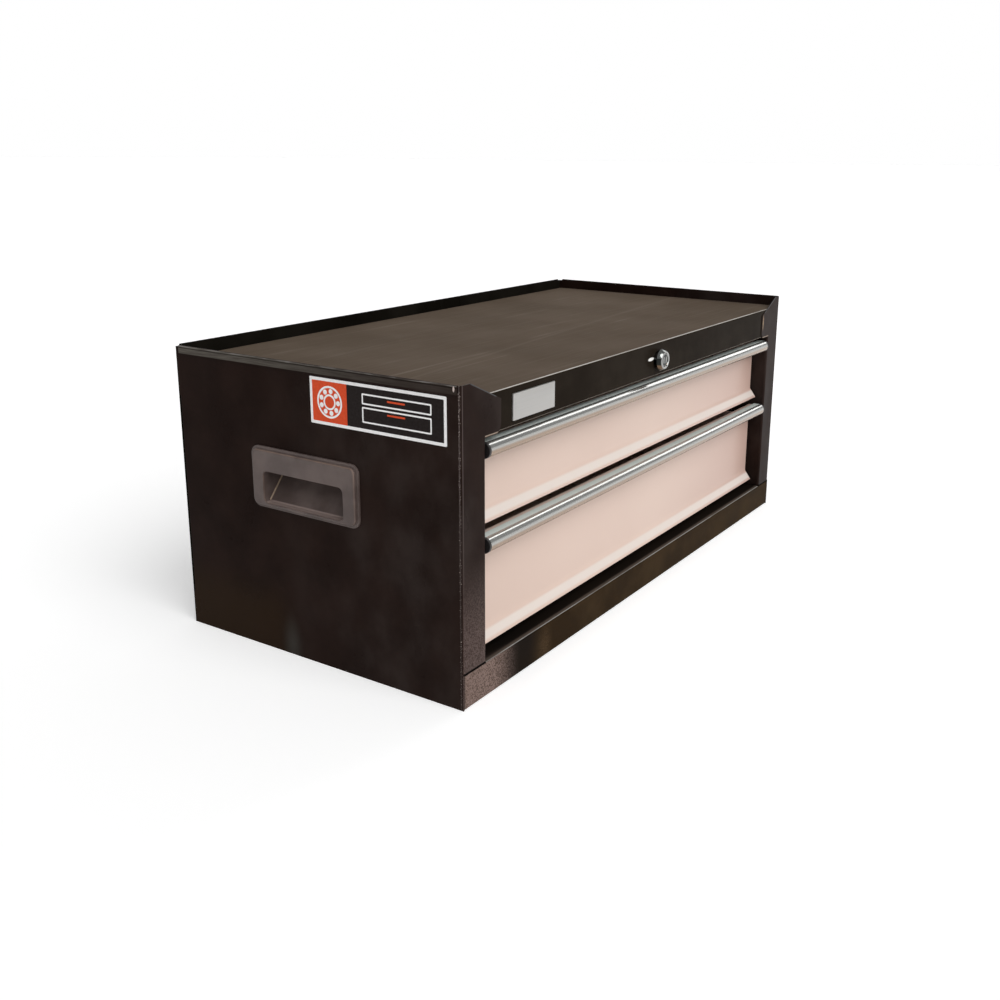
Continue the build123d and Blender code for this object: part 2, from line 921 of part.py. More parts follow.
# Lock bar: an upright strip with a cross slot for the crank pin and a bent hook for each drawer.
slot_half = pin_radius + slot_clearance
slot_left = pin_side - slot_half
slot_right = crank_radius + slot_half
pin_z = lock_z + pin_rise
bar_top = pin_z + slot_half + bar_margin
bar_bottom = hook_arm("lower") - bar_tail
with BuildPart() as lock_bar:
    with BuildSketch(Plane.XZ.offset(-bar_back)):
        with Locations((0, (bar_bottom + bar_top) / 2)):
            Rectangle(bar_width, bar_top - bar_bottom)
        with Locations(((slot_left + slot_right) / 2, pin_z)):
            Rectangle(slot_right - slot_left, 2 * slot_half, mode=Mode.SUBTRACT)
    extrude(amount=bar_sheet)
    with BuildSketch(Plane.YZ.offset(-hook_offset)):
        for level in levels:
            arm = hook_arm(level) + bar_sheet / 2
            hook_mid = hook_back - bar_sheet / 2
            hook_foot = hook_arm(level) - catch_clearance - hook_overlap
            hook_line = [(bar_back, arm), (hook_mid, arm), (hook_mid, hook_foot)]
            add(folded(hook_line, bar_sheet, bar_sheet))
    extrude(amount=hook_width / 2, both=True)
write(lock_bar, "lock_bar")


# Bar guides: straps welded to the back panel, one above each hook.
def bar_guide(level):
    """Guide strap above one drawer's hook."""
    leg_x = bar_width / 2 + guide_clearance + guide_sheet / 2
    strap_y = bar_front - guide_clearance - guide_sheet / 2
    foot_y = back_inner - guide_sheet / 2
    with BuildPart() as guide:
        with BuildSketch(Plane.XY.offset(hook_arm(level) + bar_sheet + guide_gap)):
            add(
                folded(
                    [
                        (-leg_x - guide_foot, foot_y),
                        (-leg_x, foot_y),
                        (-leg_x, strap_y),
                        (leg_x, strap_y),
                        (leg_x, foot_y),
                        (leg_x + guide_foot, foot_y),
                    ],
                    guide_sheet,
                    guide_bend,
                )
            )
        extrude(amount=guide_height)
    return guide


for level in levels:
    write(bar_guide(level), f"{level}_bar_guide")
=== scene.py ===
# Looks of the intermediate tool chest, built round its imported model.
# Metres, in the model's own frame: +X to the right of someone who faces the drawers, -Y front, +Z up.
from math import radians

import bpy
import numpy as np
from mathutils import Matrix, Vector


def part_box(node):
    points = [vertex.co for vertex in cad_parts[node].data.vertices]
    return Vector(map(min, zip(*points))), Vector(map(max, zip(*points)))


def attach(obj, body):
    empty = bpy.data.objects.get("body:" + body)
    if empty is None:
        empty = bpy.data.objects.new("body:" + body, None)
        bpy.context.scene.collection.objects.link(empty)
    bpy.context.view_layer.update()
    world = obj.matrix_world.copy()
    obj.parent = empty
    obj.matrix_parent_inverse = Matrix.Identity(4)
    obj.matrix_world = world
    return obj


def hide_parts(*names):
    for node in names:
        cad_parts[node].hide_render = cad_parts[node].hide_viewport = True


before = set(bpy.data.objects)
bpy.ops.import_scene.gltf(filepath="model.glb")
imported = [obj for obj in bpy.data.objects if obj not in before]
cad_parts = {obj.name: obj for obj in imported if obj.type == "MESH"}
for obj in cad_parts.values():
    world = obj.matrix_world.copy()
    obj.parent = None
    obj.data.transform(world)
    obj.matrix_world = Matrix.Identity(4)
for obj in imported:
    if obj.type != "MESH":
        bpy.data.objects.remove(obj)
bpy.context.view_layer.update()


# Side panels
# Folded sheet steel with a black powder coat: wall, front post and hemmed rim from one blank on each side.
# The coat has a fine orange peel. Dust lies on it, and the hems and the front folds carry painted highlights
# and sheen.
CASE_SHEET = 0.0009
SMOOTH_FOLD = radians(32)


def add_piece(name, vertices, faces, flats_lead=False):
    """A new object from vertices and faces, smooth but for edges sharper than SMOOTH_FOLD. Where flats lead,
    corner normals are weighted by face area, so that folds shade as curves and flats stay flat."""
    mesh = bpy.data.meshes.new(name)
    mesh.from_pydata(vertices, [], faces)
    mesh.validate()
    mesh.shade_smooth()
    mesh.set_sharp_from_angle(angle=SMOOTH_FOLD)
    piece = bpy.data.objects.new(name, mesh)
    bpy.context.scene.collection.objects.link(piece)
    if flats_lead:
        normals = piece.modifiers.new("flat_faces_lead", "WEIGHTED_NORMAL")
        normals.keep_sharp = True
    return piece


def fair_copy(node):
    """A node's triangles with shared corners joined into one vertex each, in place of the node."""
    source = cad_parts[node].data
    places = np.empty(len(source.vertices) * 3, np.float32)
    source.vertices.foreach_get("co", places)
    corners = np.empty(len(source.loops), np.int32)
    source.loops.foreach_get("vertex_index", corners)
    joined, index = np.unique(places.reshape(-1, 3).round(7), axis=0, return_inverse=True)
    piece = add_piece(node + "_fair", joined, index.reshape(-1)[corners].reshape(-1, 3), flats_lead=True)
    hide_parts(node)
    return piece


def start_finish(name):
    """A new node material: its tree, its shader and the place of each point in the model's frame."""
    material = bpy.data.materials.new(name)
    material.use_nodes = True
    tree = material.node_tree
    place = tree.nodes.new("ShaderNodeTexCoord").outputs["Object"]
    return material, tree, tree.nodes["Principled BSDF"], place


SHADER_INPUTS = {
    "colour": "Base Color",
    "roughness": "Roughness",
    "metallic": "Metallic",
    "gloss": "Specular IOR Level",
    "glint": "Specular Tint",
}


def feed(tree, socket, value):
    """Give a socket a number, a colour or the output of another node."""
    if isinstance(value, tuple):
        socket.default_value = (*value, 1.0)
    elif isinstance(value, (int, float)):
        socket.default_value = value
    else:
        tree.links.new(value, socket)


def shade(tree, shader, **looks):
    """Give a shader its looks, each a number, a colour or the output of another node."""
    for look, value in looks.items():
        feed(tree, shader.inputs[SHADER_INPUTS[look]], value)


NOISE_RANGE = (0.3, 0.7)


def noise(tree, place, scale, detail=3.0):
    """Fractal noise, nearly all of it in NOISE_RANGE, with so many features in a metre, or so many along each
    axis, which draws it out along the axis with the fewest."""
    if isinstance(scale, tuple):
        mapping = tree.nodes.new("ShaderNodeMapping")
        mapping.inputs["Scale"].default_value = scale
        tree.links.new(place, mapping.inputs["Vector"])
        place, scale = mapping.outputs["Vector"], 1.0
    texture = tree.nodes.new("ShaderNodeTexNoise")
    texture.inputs["Scale"].default_value = scale
    texture.inputs["Detail"].default_value = detail
    tree.links.new(place, texture.inputs["Vector"])
    return texture.outputs["Fac"]


def spread(tree, value, low, high, to_low=0.0, to_high=1.0):
    """A value's stretch from low to high, laid smoothly over another stretch."""
    node = tree.nodes.new("ShaderNodeMapRange")
    node.interpolation_type = "SMOOTHSTEP"
    for socket, number in zip(list(node.inputs)[1:5], (low, high, to_low, to_high)):
        socket.default_value = number
    tree.links.new(value, node.inputs["Value"])
    return node.outputs["Result"]


def combine(tree, how, first, second):
    """Two values, or a value and a number, joined by a named operation."""
    node = tree.nodes.new("ShaderNodeMath")
    node.operation = how
    feed(tree, node.inputs[0], first)
    feed(tree, node.inputs[1], second)
    return node.outputs["Value"]


def blend_colours(tree, share, first, second):
    """Colours mixed by a share; each is a colour or the output of another mix."""
    node = tree.nodes.new("ShaderNodeMix")
    node.data_type = "RGBA"
    tree.links.new(share, node.inputs["Factor"])
    feed(tree, node.inputs[6], first)
    feed(tree, node.inputs[7], second)
    return node.outputs[2]


def relief(tree, shader, *layers):
    """Bumps on top of each other; a layer is a height from 0 to 1 and its depth in metres."""
    under = None
    for height, depth in layers:
        bump = tree.nodes.new("ShaderNodeBump")
        bump.inputs["Distance"].default_value = depth
        tree.links.new(height, bump.inputs["Height"])
        if under:
            tree.links.new(under, bump.inputs["Normal"])
        under = bump.outputs["Normal"]
    tree.links.new(under, shader.inputs["Normal"])


def axes(tree, place):
    """The X, Y and Z of a place as separate values."""
    node = tree.nodes.new("ShaderNodeSeparateXYZ")
    tree.links.new(place, node.inputs["Vector"])
    return node.outputs["X"], node.outputs["Y"], node.outputs["Z"]


def within(tree, value, low, high, soft):
    """1 from low to high, falling smoothly to 0 over a soft margin outside them."""
    rising = spread(tree, value, low - soft, low)
    return combine(tree, "MULTIPLY", rising, spread(tree, value, high + soft, high))


def offset_length(tree, place, centre, reach):
    """Length of the offset from a centre, divided axis by axis by a reach."""
    value = place
    for how, vector in (("SUBTRACT", centre), ("DIVIDE", reach)):
        node = tree.nodes.new("ShaderNodeVectorMath")
        node.operation = how
        tree.links.new(value, node.inputs[0])
        node.inputs[1].default_value = vector
        value = node.outputs["Vector"]
    length = tree.nodes.new("ShaderNodeVectorMath")
    length.operation = "LENGTH"
    tree.links.new(value, length.inputs[0])
    return length.outputs["Value"]


def spot(tree, place, centre, reach):
    """A soft spot, 1 in its centre and 0 at its reach."""
    return spread(tree, offset_length(tree, place, centre, reach), 0.0, 1.0, 1.0, 0.0)


def together(tree, *shares):
    """Shares multiplied into one."""
    product = shares[0]
    for share in shares[1:]:
        product = combine(tree, "MULTIPLY", product, share)
    return product


def short_of(level, margins):
    """A level less each of two margins."""
    return [level - margin for margin in margins]


def past(level, margins):
    """A level and each of two margins added up."""
    return [level + margin for margin in margins]


COAT_DARK = (0.0098, 0.0044, 0.0032)
COAT_PALE = (0.0165, 0.0082, 0.0062)
COAT_ROUGHNESS = (0.26, 0.40)
COAT_GLOSS = 0.025
COAT_GLINT = (1.0, 0.76, 0.66)
COAT_CLOUDS_PER_METRE = 22.0
PEEL_PER_METRE = 850.0
PEEL_DEPTH = 0.00006
SHEET_WAVES_PER_METRE = 7.0
SHEET_WAVE_DEPTH = 0.0010


def powder_coat(name, dark=COAT_DARK, pale=COAT_PALE, roughness=COAT_ROUGHNESS, gloss=COAT_GLOSS):
    """Black powder coat: two near blacks clouded together, a fine orange peel and the sheet's slow waves."""
    material, tree, shader, place = start_finish(name)
    clouds = noise(tree, place, COAT_CLOUDS_PER_METRE, 5.0)
    peel = noise(tree, place, PEEL_PER_METRE, 2.0)
    waves = noise(tree, place, SHEET_WAVES_PER_METRE, 1.0)
    colour = blend_colours(tree, spread(tree, clouds, 0.35, 0.70), dark, pale)
    shade(tree, shader, colour=colour, roughness=spread(tree, clouds, *NOISE_RANGE, *roughness))
    shade(tree, shader, gloss=gloss, glint=COAT_GLINT)
    relief(tree, shader, (waves, SHEET_WAVE_DEPTH), (peel, PEEL_DEPTH))
    return material, tree, shader, place, colour


HEM_PROUD = 0.0014
panels = [fair_copy(side + "_side_panel") for side in ("left", "right")]
panel_low, panel_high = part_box("left_side_panel")
post_y, rim_z = panel_low.y, panel_high.z
hem_x = -panel_low.x
wall_out = hem_x - HEM_PROUD

material, tree, shader, place, colour = powder_coat("side_coat")
across, along, height = axes(tree, place)
outward = combine(tree, "ABSOLUTE", across, 0.0)

# paler smears towards the front, a painted brown floor reflection low at the rear and a painted pale glint at
# the foot
WALL_PALE_SMEARS = (0.055, 0.043, 0.039)
PALE_SMEARS_Y = (0.08, -0.10)
SMEARS_PER_METRE = (24.0, 24.0, 17.0)
GRIT_PER_METRE = 1000.0
FOOT_FLOOR_REFLECTION = (0.024, 0.013, 0.006)
BROWN_Z = (0.075, 0.030)
BROWN_Y = (0.015, 0.055)
FOOT_GLINT = (0.045, 0.041, 0.036)
FOOT_GLINT_PLACE = (-0.330, 0.030, 0.008)
FOOT_GLINT_REACH = (0.02, 0.015, 0.038)
grit = spread(tree, noise(tree, place, GRIT_PER_METRE, 4.0), 0.34, 0.66)
smears = noise(tree, place, SMEARS_PER_METRE, 6.0)
lighter = together(
    tree, spread(tree, smears, 0.38, 0.72, 0.10, 0.42), spread(tree, along, *PALE_SMEARS_Y, 0.1, 1.0)
)
colour = blend_colours(tree, lighter, colour, WALL_PALE_SMEARS)
painted_floor_reflection = together(tree, spread(tree, height, *BROWN_Z, 0.0, 0.75), spread(tree, along, *BROWN_Y))
colour = blend_colours(tree, painted_floor_reflection, colour, FOOT_FLOOR_REFLECTION)
painted_foot_glint = combine(tree, "MULTIPLY", spot(tree, place, FOOT_GLINT_PLACE, FOOT_GLINT_REACH), 0.8)
colour = blend_colours(tree, painted_foot_glint, colour, FOOT_GLINT)

# the hem, with a painted sheen in long streaks towards the rear, and a painted shade line below its painted
# crest highlight
LINE_SOFT = 0.0004
HEM_HEIGHT = 0.0074
HEM_FADE = 0.0008
HEM_SKIN = (0.0007, 0.0003)
HEM_STREAKS_PER_METRE = (900.0, 45.0, 900.0)
HEM_SHEEN = (0.138, 0.126, 0.108)
HEM_SHEEN_Y = (-0.15, 0.10)
HEM_SHADE = (0.006, 0.004, 0.003)
HEM_SHADE_BELOW_RIM = (0.0021, 0.0016)
HEM_CREST_HIGHLIGHT = (0.23, 0.215, 0.20)
HEM_CREST_BELOW_RIM = (0.0012, 0.0008)
hem_foot = rim_z - HEM_HEIGHT
on_hem = together(
    tree,
    spread(tree, height, hem_foot, hem_foot + HEM_FADE),
    spread(tree, outward, *short_of(hem_x, HEM_SKIN)),
)
streaks = noise(tree, place, HEM_STREAKS_PER_METRE, 4.0)
painted_hem_sheen = together(
    tree,
    on_hem,
    spread(tree, streaks, *NOISE_RANGE, 0.55, 1.0),
    spread(tree, along, *HEM_SHEEN_Y, 0.15, 0.8),
)
colour = blend_colours(tree, painted_hem_sheen, colour, HEM_SHEEN)
hem_line = within(tree, height, *short_of(rim_z, HEM_SHADE_BELOW_RIM), LINE_SOFT)
hem_line = combine(tree, "MULTIPLY", together(tree, on_hem, hem_line), 0.7)
colour = blend_colours(tree, hem_line, colour, HEM_SHADE)
painted_crest_highlight = together(
    tree,
    on_hem,
    spread(tree, height, *short_of(rim_z, HEM_CREST_BELOW_RIM)),
    spread(tree, streaks, 0.45, 0.62, 0.1, 0.8),
)
colour = blend_colours(tree, painted_crest_highlight, colour, HEM_CREST_HIGHLIGHT)

# the fold between wall and post, with painted highlight lines along both its sides and flecks of painted
# glint on the wall's side
FOLD_HIGHLIGHT = (0.095, 0.076, 0.071)
FOLD_WALL_LINE = (0.0020, 0.0028)
FOLD_POST_LINE = (-0.0015, -0.0008)
FOLD_Y = (-0.150, -0.152)
FOLD_Z = (0.03, 0.22)
BARE_PRIMER_AND_GLINT = (0.66, 0.55, 0.50)
GLINT_FLECKS_PER_METRE = 1500.0
FLECK_LINE = (0.0014, 0.0030)
FINE_SOFT = 0.0003
FLECK_Z = (0.15, 0.255)
off_fold = combine(tree, "SUBTRACT", combine(tree, "ADD", outward, along), wall_out + post_y)
at_front = spread(tree, along, *FOLD_Y)
wall_line = within(tree, off_fold, *FOLD_WALL_LINE, LINE_SOFT)
lines = combine(tree, "ADD", wall_line, within(tree, off_fold, *FOLD_POST_LINE, LINE_SOFT))
lines = together(tree, lines, at_front, spread(tree, height, *FOLD_Z, 0.30, 0.75))
colour = blend_colours(tree, lines, colour, FOLD_HIGHLIGHT)
painted_glint_flecks = combine(
    tree, "ADD", noise(tree, place, GLINT_FLECKS_PER_METRE, 0.0), spread(tree, height, *FLECK_Z, 0.0, 0.06)
)
painted_glint_flecks = together(
    tree, spread(tree, painted_glint_flecks, 0.73, 0.77), within(tree, off_fold, *FLECK_LINE, FINE_SOFT), at_front
)
colour = blend_colours(tree, painted_glint_flecks, colour, BARE_PRIMER_AND_GLINT)

# the post: gritty dust with a painted sheen on the left one's foot, the dark seam on the rail, and painted
# highlights on the tab's edges
POST_SKIN = (0.0008, 0.0003)
LEFT_X = (-0.25, -0.27)
POST_DUST_AND_SHEEN = (0.110, 0.078, 0.070)
POST_DUST_AND_SHEEN_Z = (0.135, 0.045)
POST_FOOT = 0.0316
SEAM_SHADE = (0.002, 0.0015, 0.001)
LINE_WIDTH = 0.0007
LINE_END = 0.001
TAB_SHOULDER = 0.318
TAB_SLOPE = 0.458
TAB_INNER = (0.2830, 0.2860)
TAB_EDGE_HIGHLIGHT = (0.135, 0.140, 0.145)
TAB_FOOT = 0.2219
TAB_FOOT_OUTER = (0.3000, 0.2990)
TAB_FOOT_HIGHLIGHT = (0.30, 0.235, 0.185)
front_face = spread(tree, along, *past(post_y, POST_SKIN))
foot = together(
    tree,
    front_face,
    spread(tree, across, *LEFT_X),
    spread(tree, height, *POST_DUST_AND_SHEEN_Z, 0.0, 0.85),
    combine(tree, "ADD", grit, 0.25),
)
colour = blend_colours(tree, foot, colour, POST_DUST_AND_SHEEN)
seam = together(tree, front_face, within(tree, height, POST_FOOT, POST_FOOT + LINE_WIDTH, LINE_SOFT))
colour = blend_colours(tree, seam, colour, SEAM_SHADE)
tab_rise = combine(tree, "SUBTRACT", height, combine(tree, "MULTIPLY", outward, TAB_SLOPE))
tab_top = rim_z - TAB_SHOULDER * TAB_SLOPE
painted_tab_highlight = together(
    tree,
    front_face,
    within(tree, tab_rise, tab_top - LINE_WIDTH, tab_top, FINE_SOFT),
    spread(tree, outward, TAB_SHOULDER + LINE_END, TAB_SHOULDER),
    spread(tree, outward, *TAB_INNER, 0.0, 0.55),
)
colour = blend_colours(tree, painted_tab_highlight, colour, TAB_EDGE_HIGHLIGHT)
painted_foot_highlight = together(
    tree,
    front_face,
    within(tree, height, TAB_FOOT, TAB_FOOT + LINE_WIDTH, FINE_SOFT),
    spread(tree, outward, *TAB_FOOT_OUTER),
)
colour = blend_colours(tree, painted_foot_highlight, colour, TAB_FOOT_HIGHLIGHT)

# a chip at the front end of the left hem and a tan streak on the right tab
CHIP_PLACE = (-0.3314, -0.1522, 0.26455)
CHIP_REACH = (0.0015, 0.0013, 0.0034)
STREAK_TAN = (0.36, 0.25, 0.16)
STREAK_PLACE = (0.2807, -0.1585, 0.2400)
STREAK_REACH = (0.0022, 0.004, 0.0125)
chip = spread(tree, spot(tree, place, CHIP_PLACE, CHIP_REACH), 0.15, 0.45)
colour = blend_colours(tree, chip, colour, BARE_PRIMER_AND_GLINT)
streak = spread(tree, spot(tree, place, STREAK_PLACE, STREAK_REACH), 0.0, 0.5)
streak = together(tree, streak, spread(tree, grit, 0.2, 0.7, 0.5, 1.0))
colour = blend_colours(tree, streak, colour, STREAK_TAN)
shade(tree, shader, colour=colour)
for panel in panels:
    panel.data.materials.append(material)
    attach(panel, "cabinet")

# Back and bottom panels
# Sheet steel in the same black coat: the back laps over the side panels, and the bottom folds up in front
# into the rail below the drawers, with dust and a painted reflection where it meets the left post. Both are
# spot welded to the sides.
BACK_DARK = (0.0046, 0.0040, 0.0029)
BACK_PALE = (0.0085, 0.0074, 0.0056)
RAIL_REFLECTED_BROWN_DARK = (0.024, 0.0138, 0.0058)
RAIL_REFLECTED_BROWN_PALE = (0.041, 0.0255, 0.0125)
RAIL_ROUGHNESS = (0.36, 0.50)
RAIL_GLOSS = 0.008
RAIL_Y = (-0.150, -0.154)
RAIL_SHADE_AND_REFLECTION_BLACK = (0.0075, 0.0058, 0.0050)
RAIL_BLACK_X = (-0.260, -0.238)
RAIL_BLACK_SOFT = 0.032
RAIL_DUST_AND_REFLECTION = (0.222, 0.158, 0.138)
RAIL_DUST_AND_REFLECTION_X = (-0.246, -0.296)
SMUDGE = (0.105, 0.066, 0.034)
SMUDGE_PLACE = (-0.208, -0.1585, 0.009)
SMUDGE_REACH = (0.016, 0.02, 0.030)
LEDGE_SKIN = (0.0009, 0.0003)
LEDGE_LIT = (0.085, 0.068, 0.056)
LEDGE_LIT_Y = (-0.1530, -0.1562)
RAIL_EDGE_HIGHLIGHT = (0.30, 0.30, 0.29)
RAIL_EDGE_BELOW = (0.0006, 0.0004)
RAIL_EDGE_Y = (-0.1566, -0.1570)
RAIL_HIGHLIGHT_BREAKS_PER_METRE = 14.0
EDGE_SOFT = 0.0002
POST_INNER = 0.2986
SEAM_BELOW = (0.0012, 0.0008)

back = fair_copy("back_panel")
back.data.materials.append(powder_coat("back_coat", BACK_DARK, BACK_PALE)[0])

bottom = fair_copy("bottom_panel")
rail_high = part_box("bottom_panel")[1].z
# the rail's brown coat colours are a painted reflection of a brown floor
material, tree, shader, place, colour = powder_coat(
    "rail_coat", RAIL_REFLECTED_BROWN_DARK, RAIL_REFLECTED_BROWN_PALE, RAIL_ROUGHNESS, RAIL_GLOSS
)
across, along, height = axes(tree, place)
grit = combine(tree, "ADD", spread(tree, noise(tree, place, GRIT_PER_METRE, 4.0), 0.34, 0.66), 0.3)
# a painted dark reflection across a stretch of the rail near the left
painted_dark_reflection = combine(tree, "MULTIPLY", within(tree, across, *RAIL_BLACK_X, RAIL_BLACK_SOFT), 0.85)
colour = blend_colours(tree, painted_dark_reflection, colour, RAIL_SHADE_AND_REFLECTION_BLACK)
# a gritty pale patch towards the left post: dust and a painted reflection
lighter = together(tree, grit, spread(tree, along, *RAIL_Y), spread(tree, across, *RAIL_DUST_AND_REFLECTION_X, 0.0, 0.95))
colour = blend_colours(tree, lighter, colour, RAIL_DUST_AND_REFLECTION)
smudge = together(tree, grit, combine(tree, "MULTIPLY", spot(tree, place, SMUDGE_PLACE, SMUDGE_REACH), 0.4))
colour = blend_colours(tree, smudge, colour, SMUDGE)
# painted shade over the ledge under the drawers, with a painted lit strip towards its front
on_ledge = spread(tree, height, *short_of(rail_high, LEDGE_SKIN))
colour = blend_colours(tree, combine(tree, "MULTIPLY", on_ledge, 0.9), colour, RAIL_SHADE_AND_REFLECTION_BLACK)
painted_lit_ledge = together(tree, on_ledge, spread(tree, along, *LEDGE_LIT_Y, 0.0, 0.9))
colour = blend_colours(tree, painted_lit_ledge, colour, LEDGE_LIT)
# a painted highlight along the rail's top fold, broken up along its length
highlight_breaks = noise(tree, place, (RAIL_HIGHLIGHT_BREAKS_PER_METRE, 1.0, 1.0), 4.0)
between_posts = spread(tree, combine(tree, "ABSOLUTE", across, 0.0), POST_INNER, POST_INNER - LINE_END)
painted_rail_highlight = together(
    tree,
    within(tree, height, *short_of(rail_high, RAIL_EDGE_BELOW), EDGE_SOFT),
    spread(tree, along, *RAIL_EDGE_Y),
    spread(tree, highlight_breaks, 0.35, 0.6, 0.35, 0.9),
    between_posts,
)
colour = blend_colours(tree, painted_rail_highlight, colour, RAIL_EDGE_HIGHLIGHT)
under_posts = together(
    tree,
    spread(tree, height, *short_of(rail_high, SEAM_BELOW)),
    spread(tree, between_posts, 0.5, 0.4),
)
colour = blend_colours(tree, under_posts, colour, SEAM_SHADE)
shade(tree, shader, colour=colour)
bottom.data.materials.append(material)

for panel in (back, bottom):
    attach(panel, "cabinet")

# Rim corners
# The wall's own corner tongues, which stand between the ends of the hems at the two rear corners of the rim.
# They are of the same sheet and coat, and end a little below the hems.
TONGUE_FRONT, TONGUE_REAR = 0.15352, 0.15755
TONGUE_FOOT, TONGUE_HEAD = 0.26002, 0.2660
TONGUE_CLEAR = 0.00002
TONGUE_CORNER = 0.0002


def rounded_rectangle(width, height, corner, steps=8):
    """Closed outline about the origin: four quarter circles of the corner's radius, one after the other."""
    turn = np.linspace(0, np.pi / 2, steps + 1)
    x, y = width / 2 - corner, height / 2 - corner
    quarters = [
        np.column_stack([a + corner * np.cos(turn + start), b + corner * np.sin(turn + start)])
        for (a, b), start in zip(((x, y), (-x, y), (-x, -y), (x, -y)), np.arange(4) * np.pi / 2)
    ]
    return np.vstack(quarters)


def stacked_outlines(name, outlines):
    """A closed skin over outlines of equal counts, each given by its points in space, with both ends filled.
    Seen from the last outline, the points run anticlockwise."""
    count = len(outlines[0])
    step = np.arange(count)
    ahead = np.roll(step, -1)
    walls = np.column_stack([step, ahead, ahead + count, step + count])
    faces = [face for layer in range(len(outlines) - 1) for face in (walls + layer * count).tolist()]
    faces += [step[::-1].tolist(), (step + count * (len(outlines) - 1)).tolist()]
    return add_piece(name, np.vstack(outlines), faces)


tongue_coat = powder_coat("tongue_coat")[0]
for side, wall in (("left", -wall_out), ("right", wall_out)):
    outline = rounded_rectangle(CASE_SHEET - 2 * TONGUE_CLEAR, TONGUE_REAR - TONGUE_FRONT, TONGUE_CORNER)
    outline += (wall - np.sign(wall) * CASE_SHEET / 2, (TONGUE_FRONT + TONGUE_REAR) / 2)
    ends = [np.column_stack([outline, np.full(len(outline), z)]) for z in (TONGUE_FOOT, TONGUE_HEAD)]
    tongue = stacked_outlines(side + "_rim_tongue", ends)
    tongue.data.materials.append(tongue_coat)
    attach(tongue, "cabinet")

# Top panel
# One sheet folded over into the header, in the black coat, with painted highlights along both folds and a
# painted glint beside the lock. Tools are laid on the deck, so its coat is duller, scuffed along its length,
# and lightly creased.
HEADER_DARK = (0.0150, 0.0110, 0.0078)
HEADER_PALE = (0.0240, 0.0185, 0.0135)
HEADER_ROUGHNESS = (0.13, 0.20)
HEADER_GLOSS = 0.006
HEADER_Y = (-0.1556, -0.1560)
DECK_DARK = (0.105, 0.079, 0.058)
DECK_PALE = (0.139, 0.107, 0.082)
DECK_CLOUDS_PER_METRE = 9.0
DECK_ROUGHER = (0.40, 0.50)
DECK_FADE = 0.0012
SCUFF_AND_CREASE_HIGHLIGHT = (0.200, 0.165, 0.135)
STROKES_PER_METRE = (6.0, 160.0, 6.0)
HAIRS_PER_METRE = (9.0, 700.0, 9.0)
CREASE_Y = -0.0461
CREASE_TURN = 0.0928
CREASE_WIDTH = 0.004
DECK_EDGE_HIGHLIGHT = (0.50, 0.48, 0.45)
EDGE_BELOW_DECK = (0.00055, 0.00025)
EDGE_HIGHLIGHT_BREAKS_PER_METRE = 18.0
HEADER_FOOT_HIGHLIGHT = (0.36, 0.305, 0.26)
FOOT_LINE = (0.0002, 0.0008)
LOCK_GLINT = (0.90, 0.89, 0.86)
LOCK_GLINT_PLACE = (-0.0148, -0.1576, 0.2401)
LOCK_GLINT_REACH = (0.0095, 0.004, 0.0026)

top = fair_copy("top_panel")
header_foot, deck_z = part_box("top_panel")[0].z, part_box("top_panel")[1].z
material, tree, shader, place, header_colour = powder_coat(
    "header_and_deck_coat", HEADER_DARK, HEADER_PALE, HEADER_ROUGHNESS, HEADER_GLOSS
)
across, along, height = axes(tree, place)
clouds = noise(tree, place, DECK_CLOUDS_PER_METRE, 6.0)
strokes = noise(tree, place, STROKES_PER_METRE, 6.0)
hairs = noise(tree, place, HAIRS_PER_METRE, 3.0)
# the deck's pale taupe is dust and a painted grazing sheen of the black coat
deck_colour = blend_colours(tree, spread(tree, clouds, 0.3, 0.75), DECK_DARK, DECK_PALE)
scuffs = together(tree, spread(tree, strokes, 0.58, 0.78), spread(tree, clouds, 0.42, 0.65, 0.1, 0.7))
deck_colour = blend_colours(tree, scuffs, deck_colour, SCUFF_AND_CREASE_HIGHLIGHT)
deck_colour = blend_colours(tree, spread(tree, hairs, 0.5, 0.75, 0.0, 0.25), deck_colour, SCUFF_AND_CREASE_HIGHLIGHT)
# a painted highlight along a slight crease across the deck
slant = combine(tree, "SUBTRACT", along, combine(tree, "MULTIPLY", across, CREASE_TURN))
off_crease = combine(tree, "ABSOLUTE", combine(tree, "SUBTRACT", slant, CREASE_Y), 0.0)
crease = spread(tree, off_crease, 0.0, CREASE_WIDTH, 1.0, 0.0)
deck_colour = blend_colours(tree, combine(tree, "MULTIPLY", crease, 0.22), deck_colour, SCUFF_AND_CREASE_HIGHLIGHT)
on_deck = spread(tree, height, deck_z - DECK_FADE, deck_z - DECK_FADE / 4)
colour = blend_colours(tree, on_deck, header_colour, deck_colour)
at_front = spread(tree, along, *HEADER_Y)
# a painted highlight along the deck's front fold, broken up along its length
highlight_breaks = noise(tree, place, (EDGE_HIGHLIGHT_BREAKS_PER_METRE, 1.0, 1.0), 4.0)
edge = together(
    tree,
    at_front,
    within(tree, height, *short_of(deck_z, EDGE_BELOW_DECK), EDGE_SOFT),
    spread(tree, highlight_breaks, 0.3, 0.55, 0.5, 1.0),
)
colour = blend_colours(tree, edge, colour, DECK_EDGE_HIGHLIGHT)
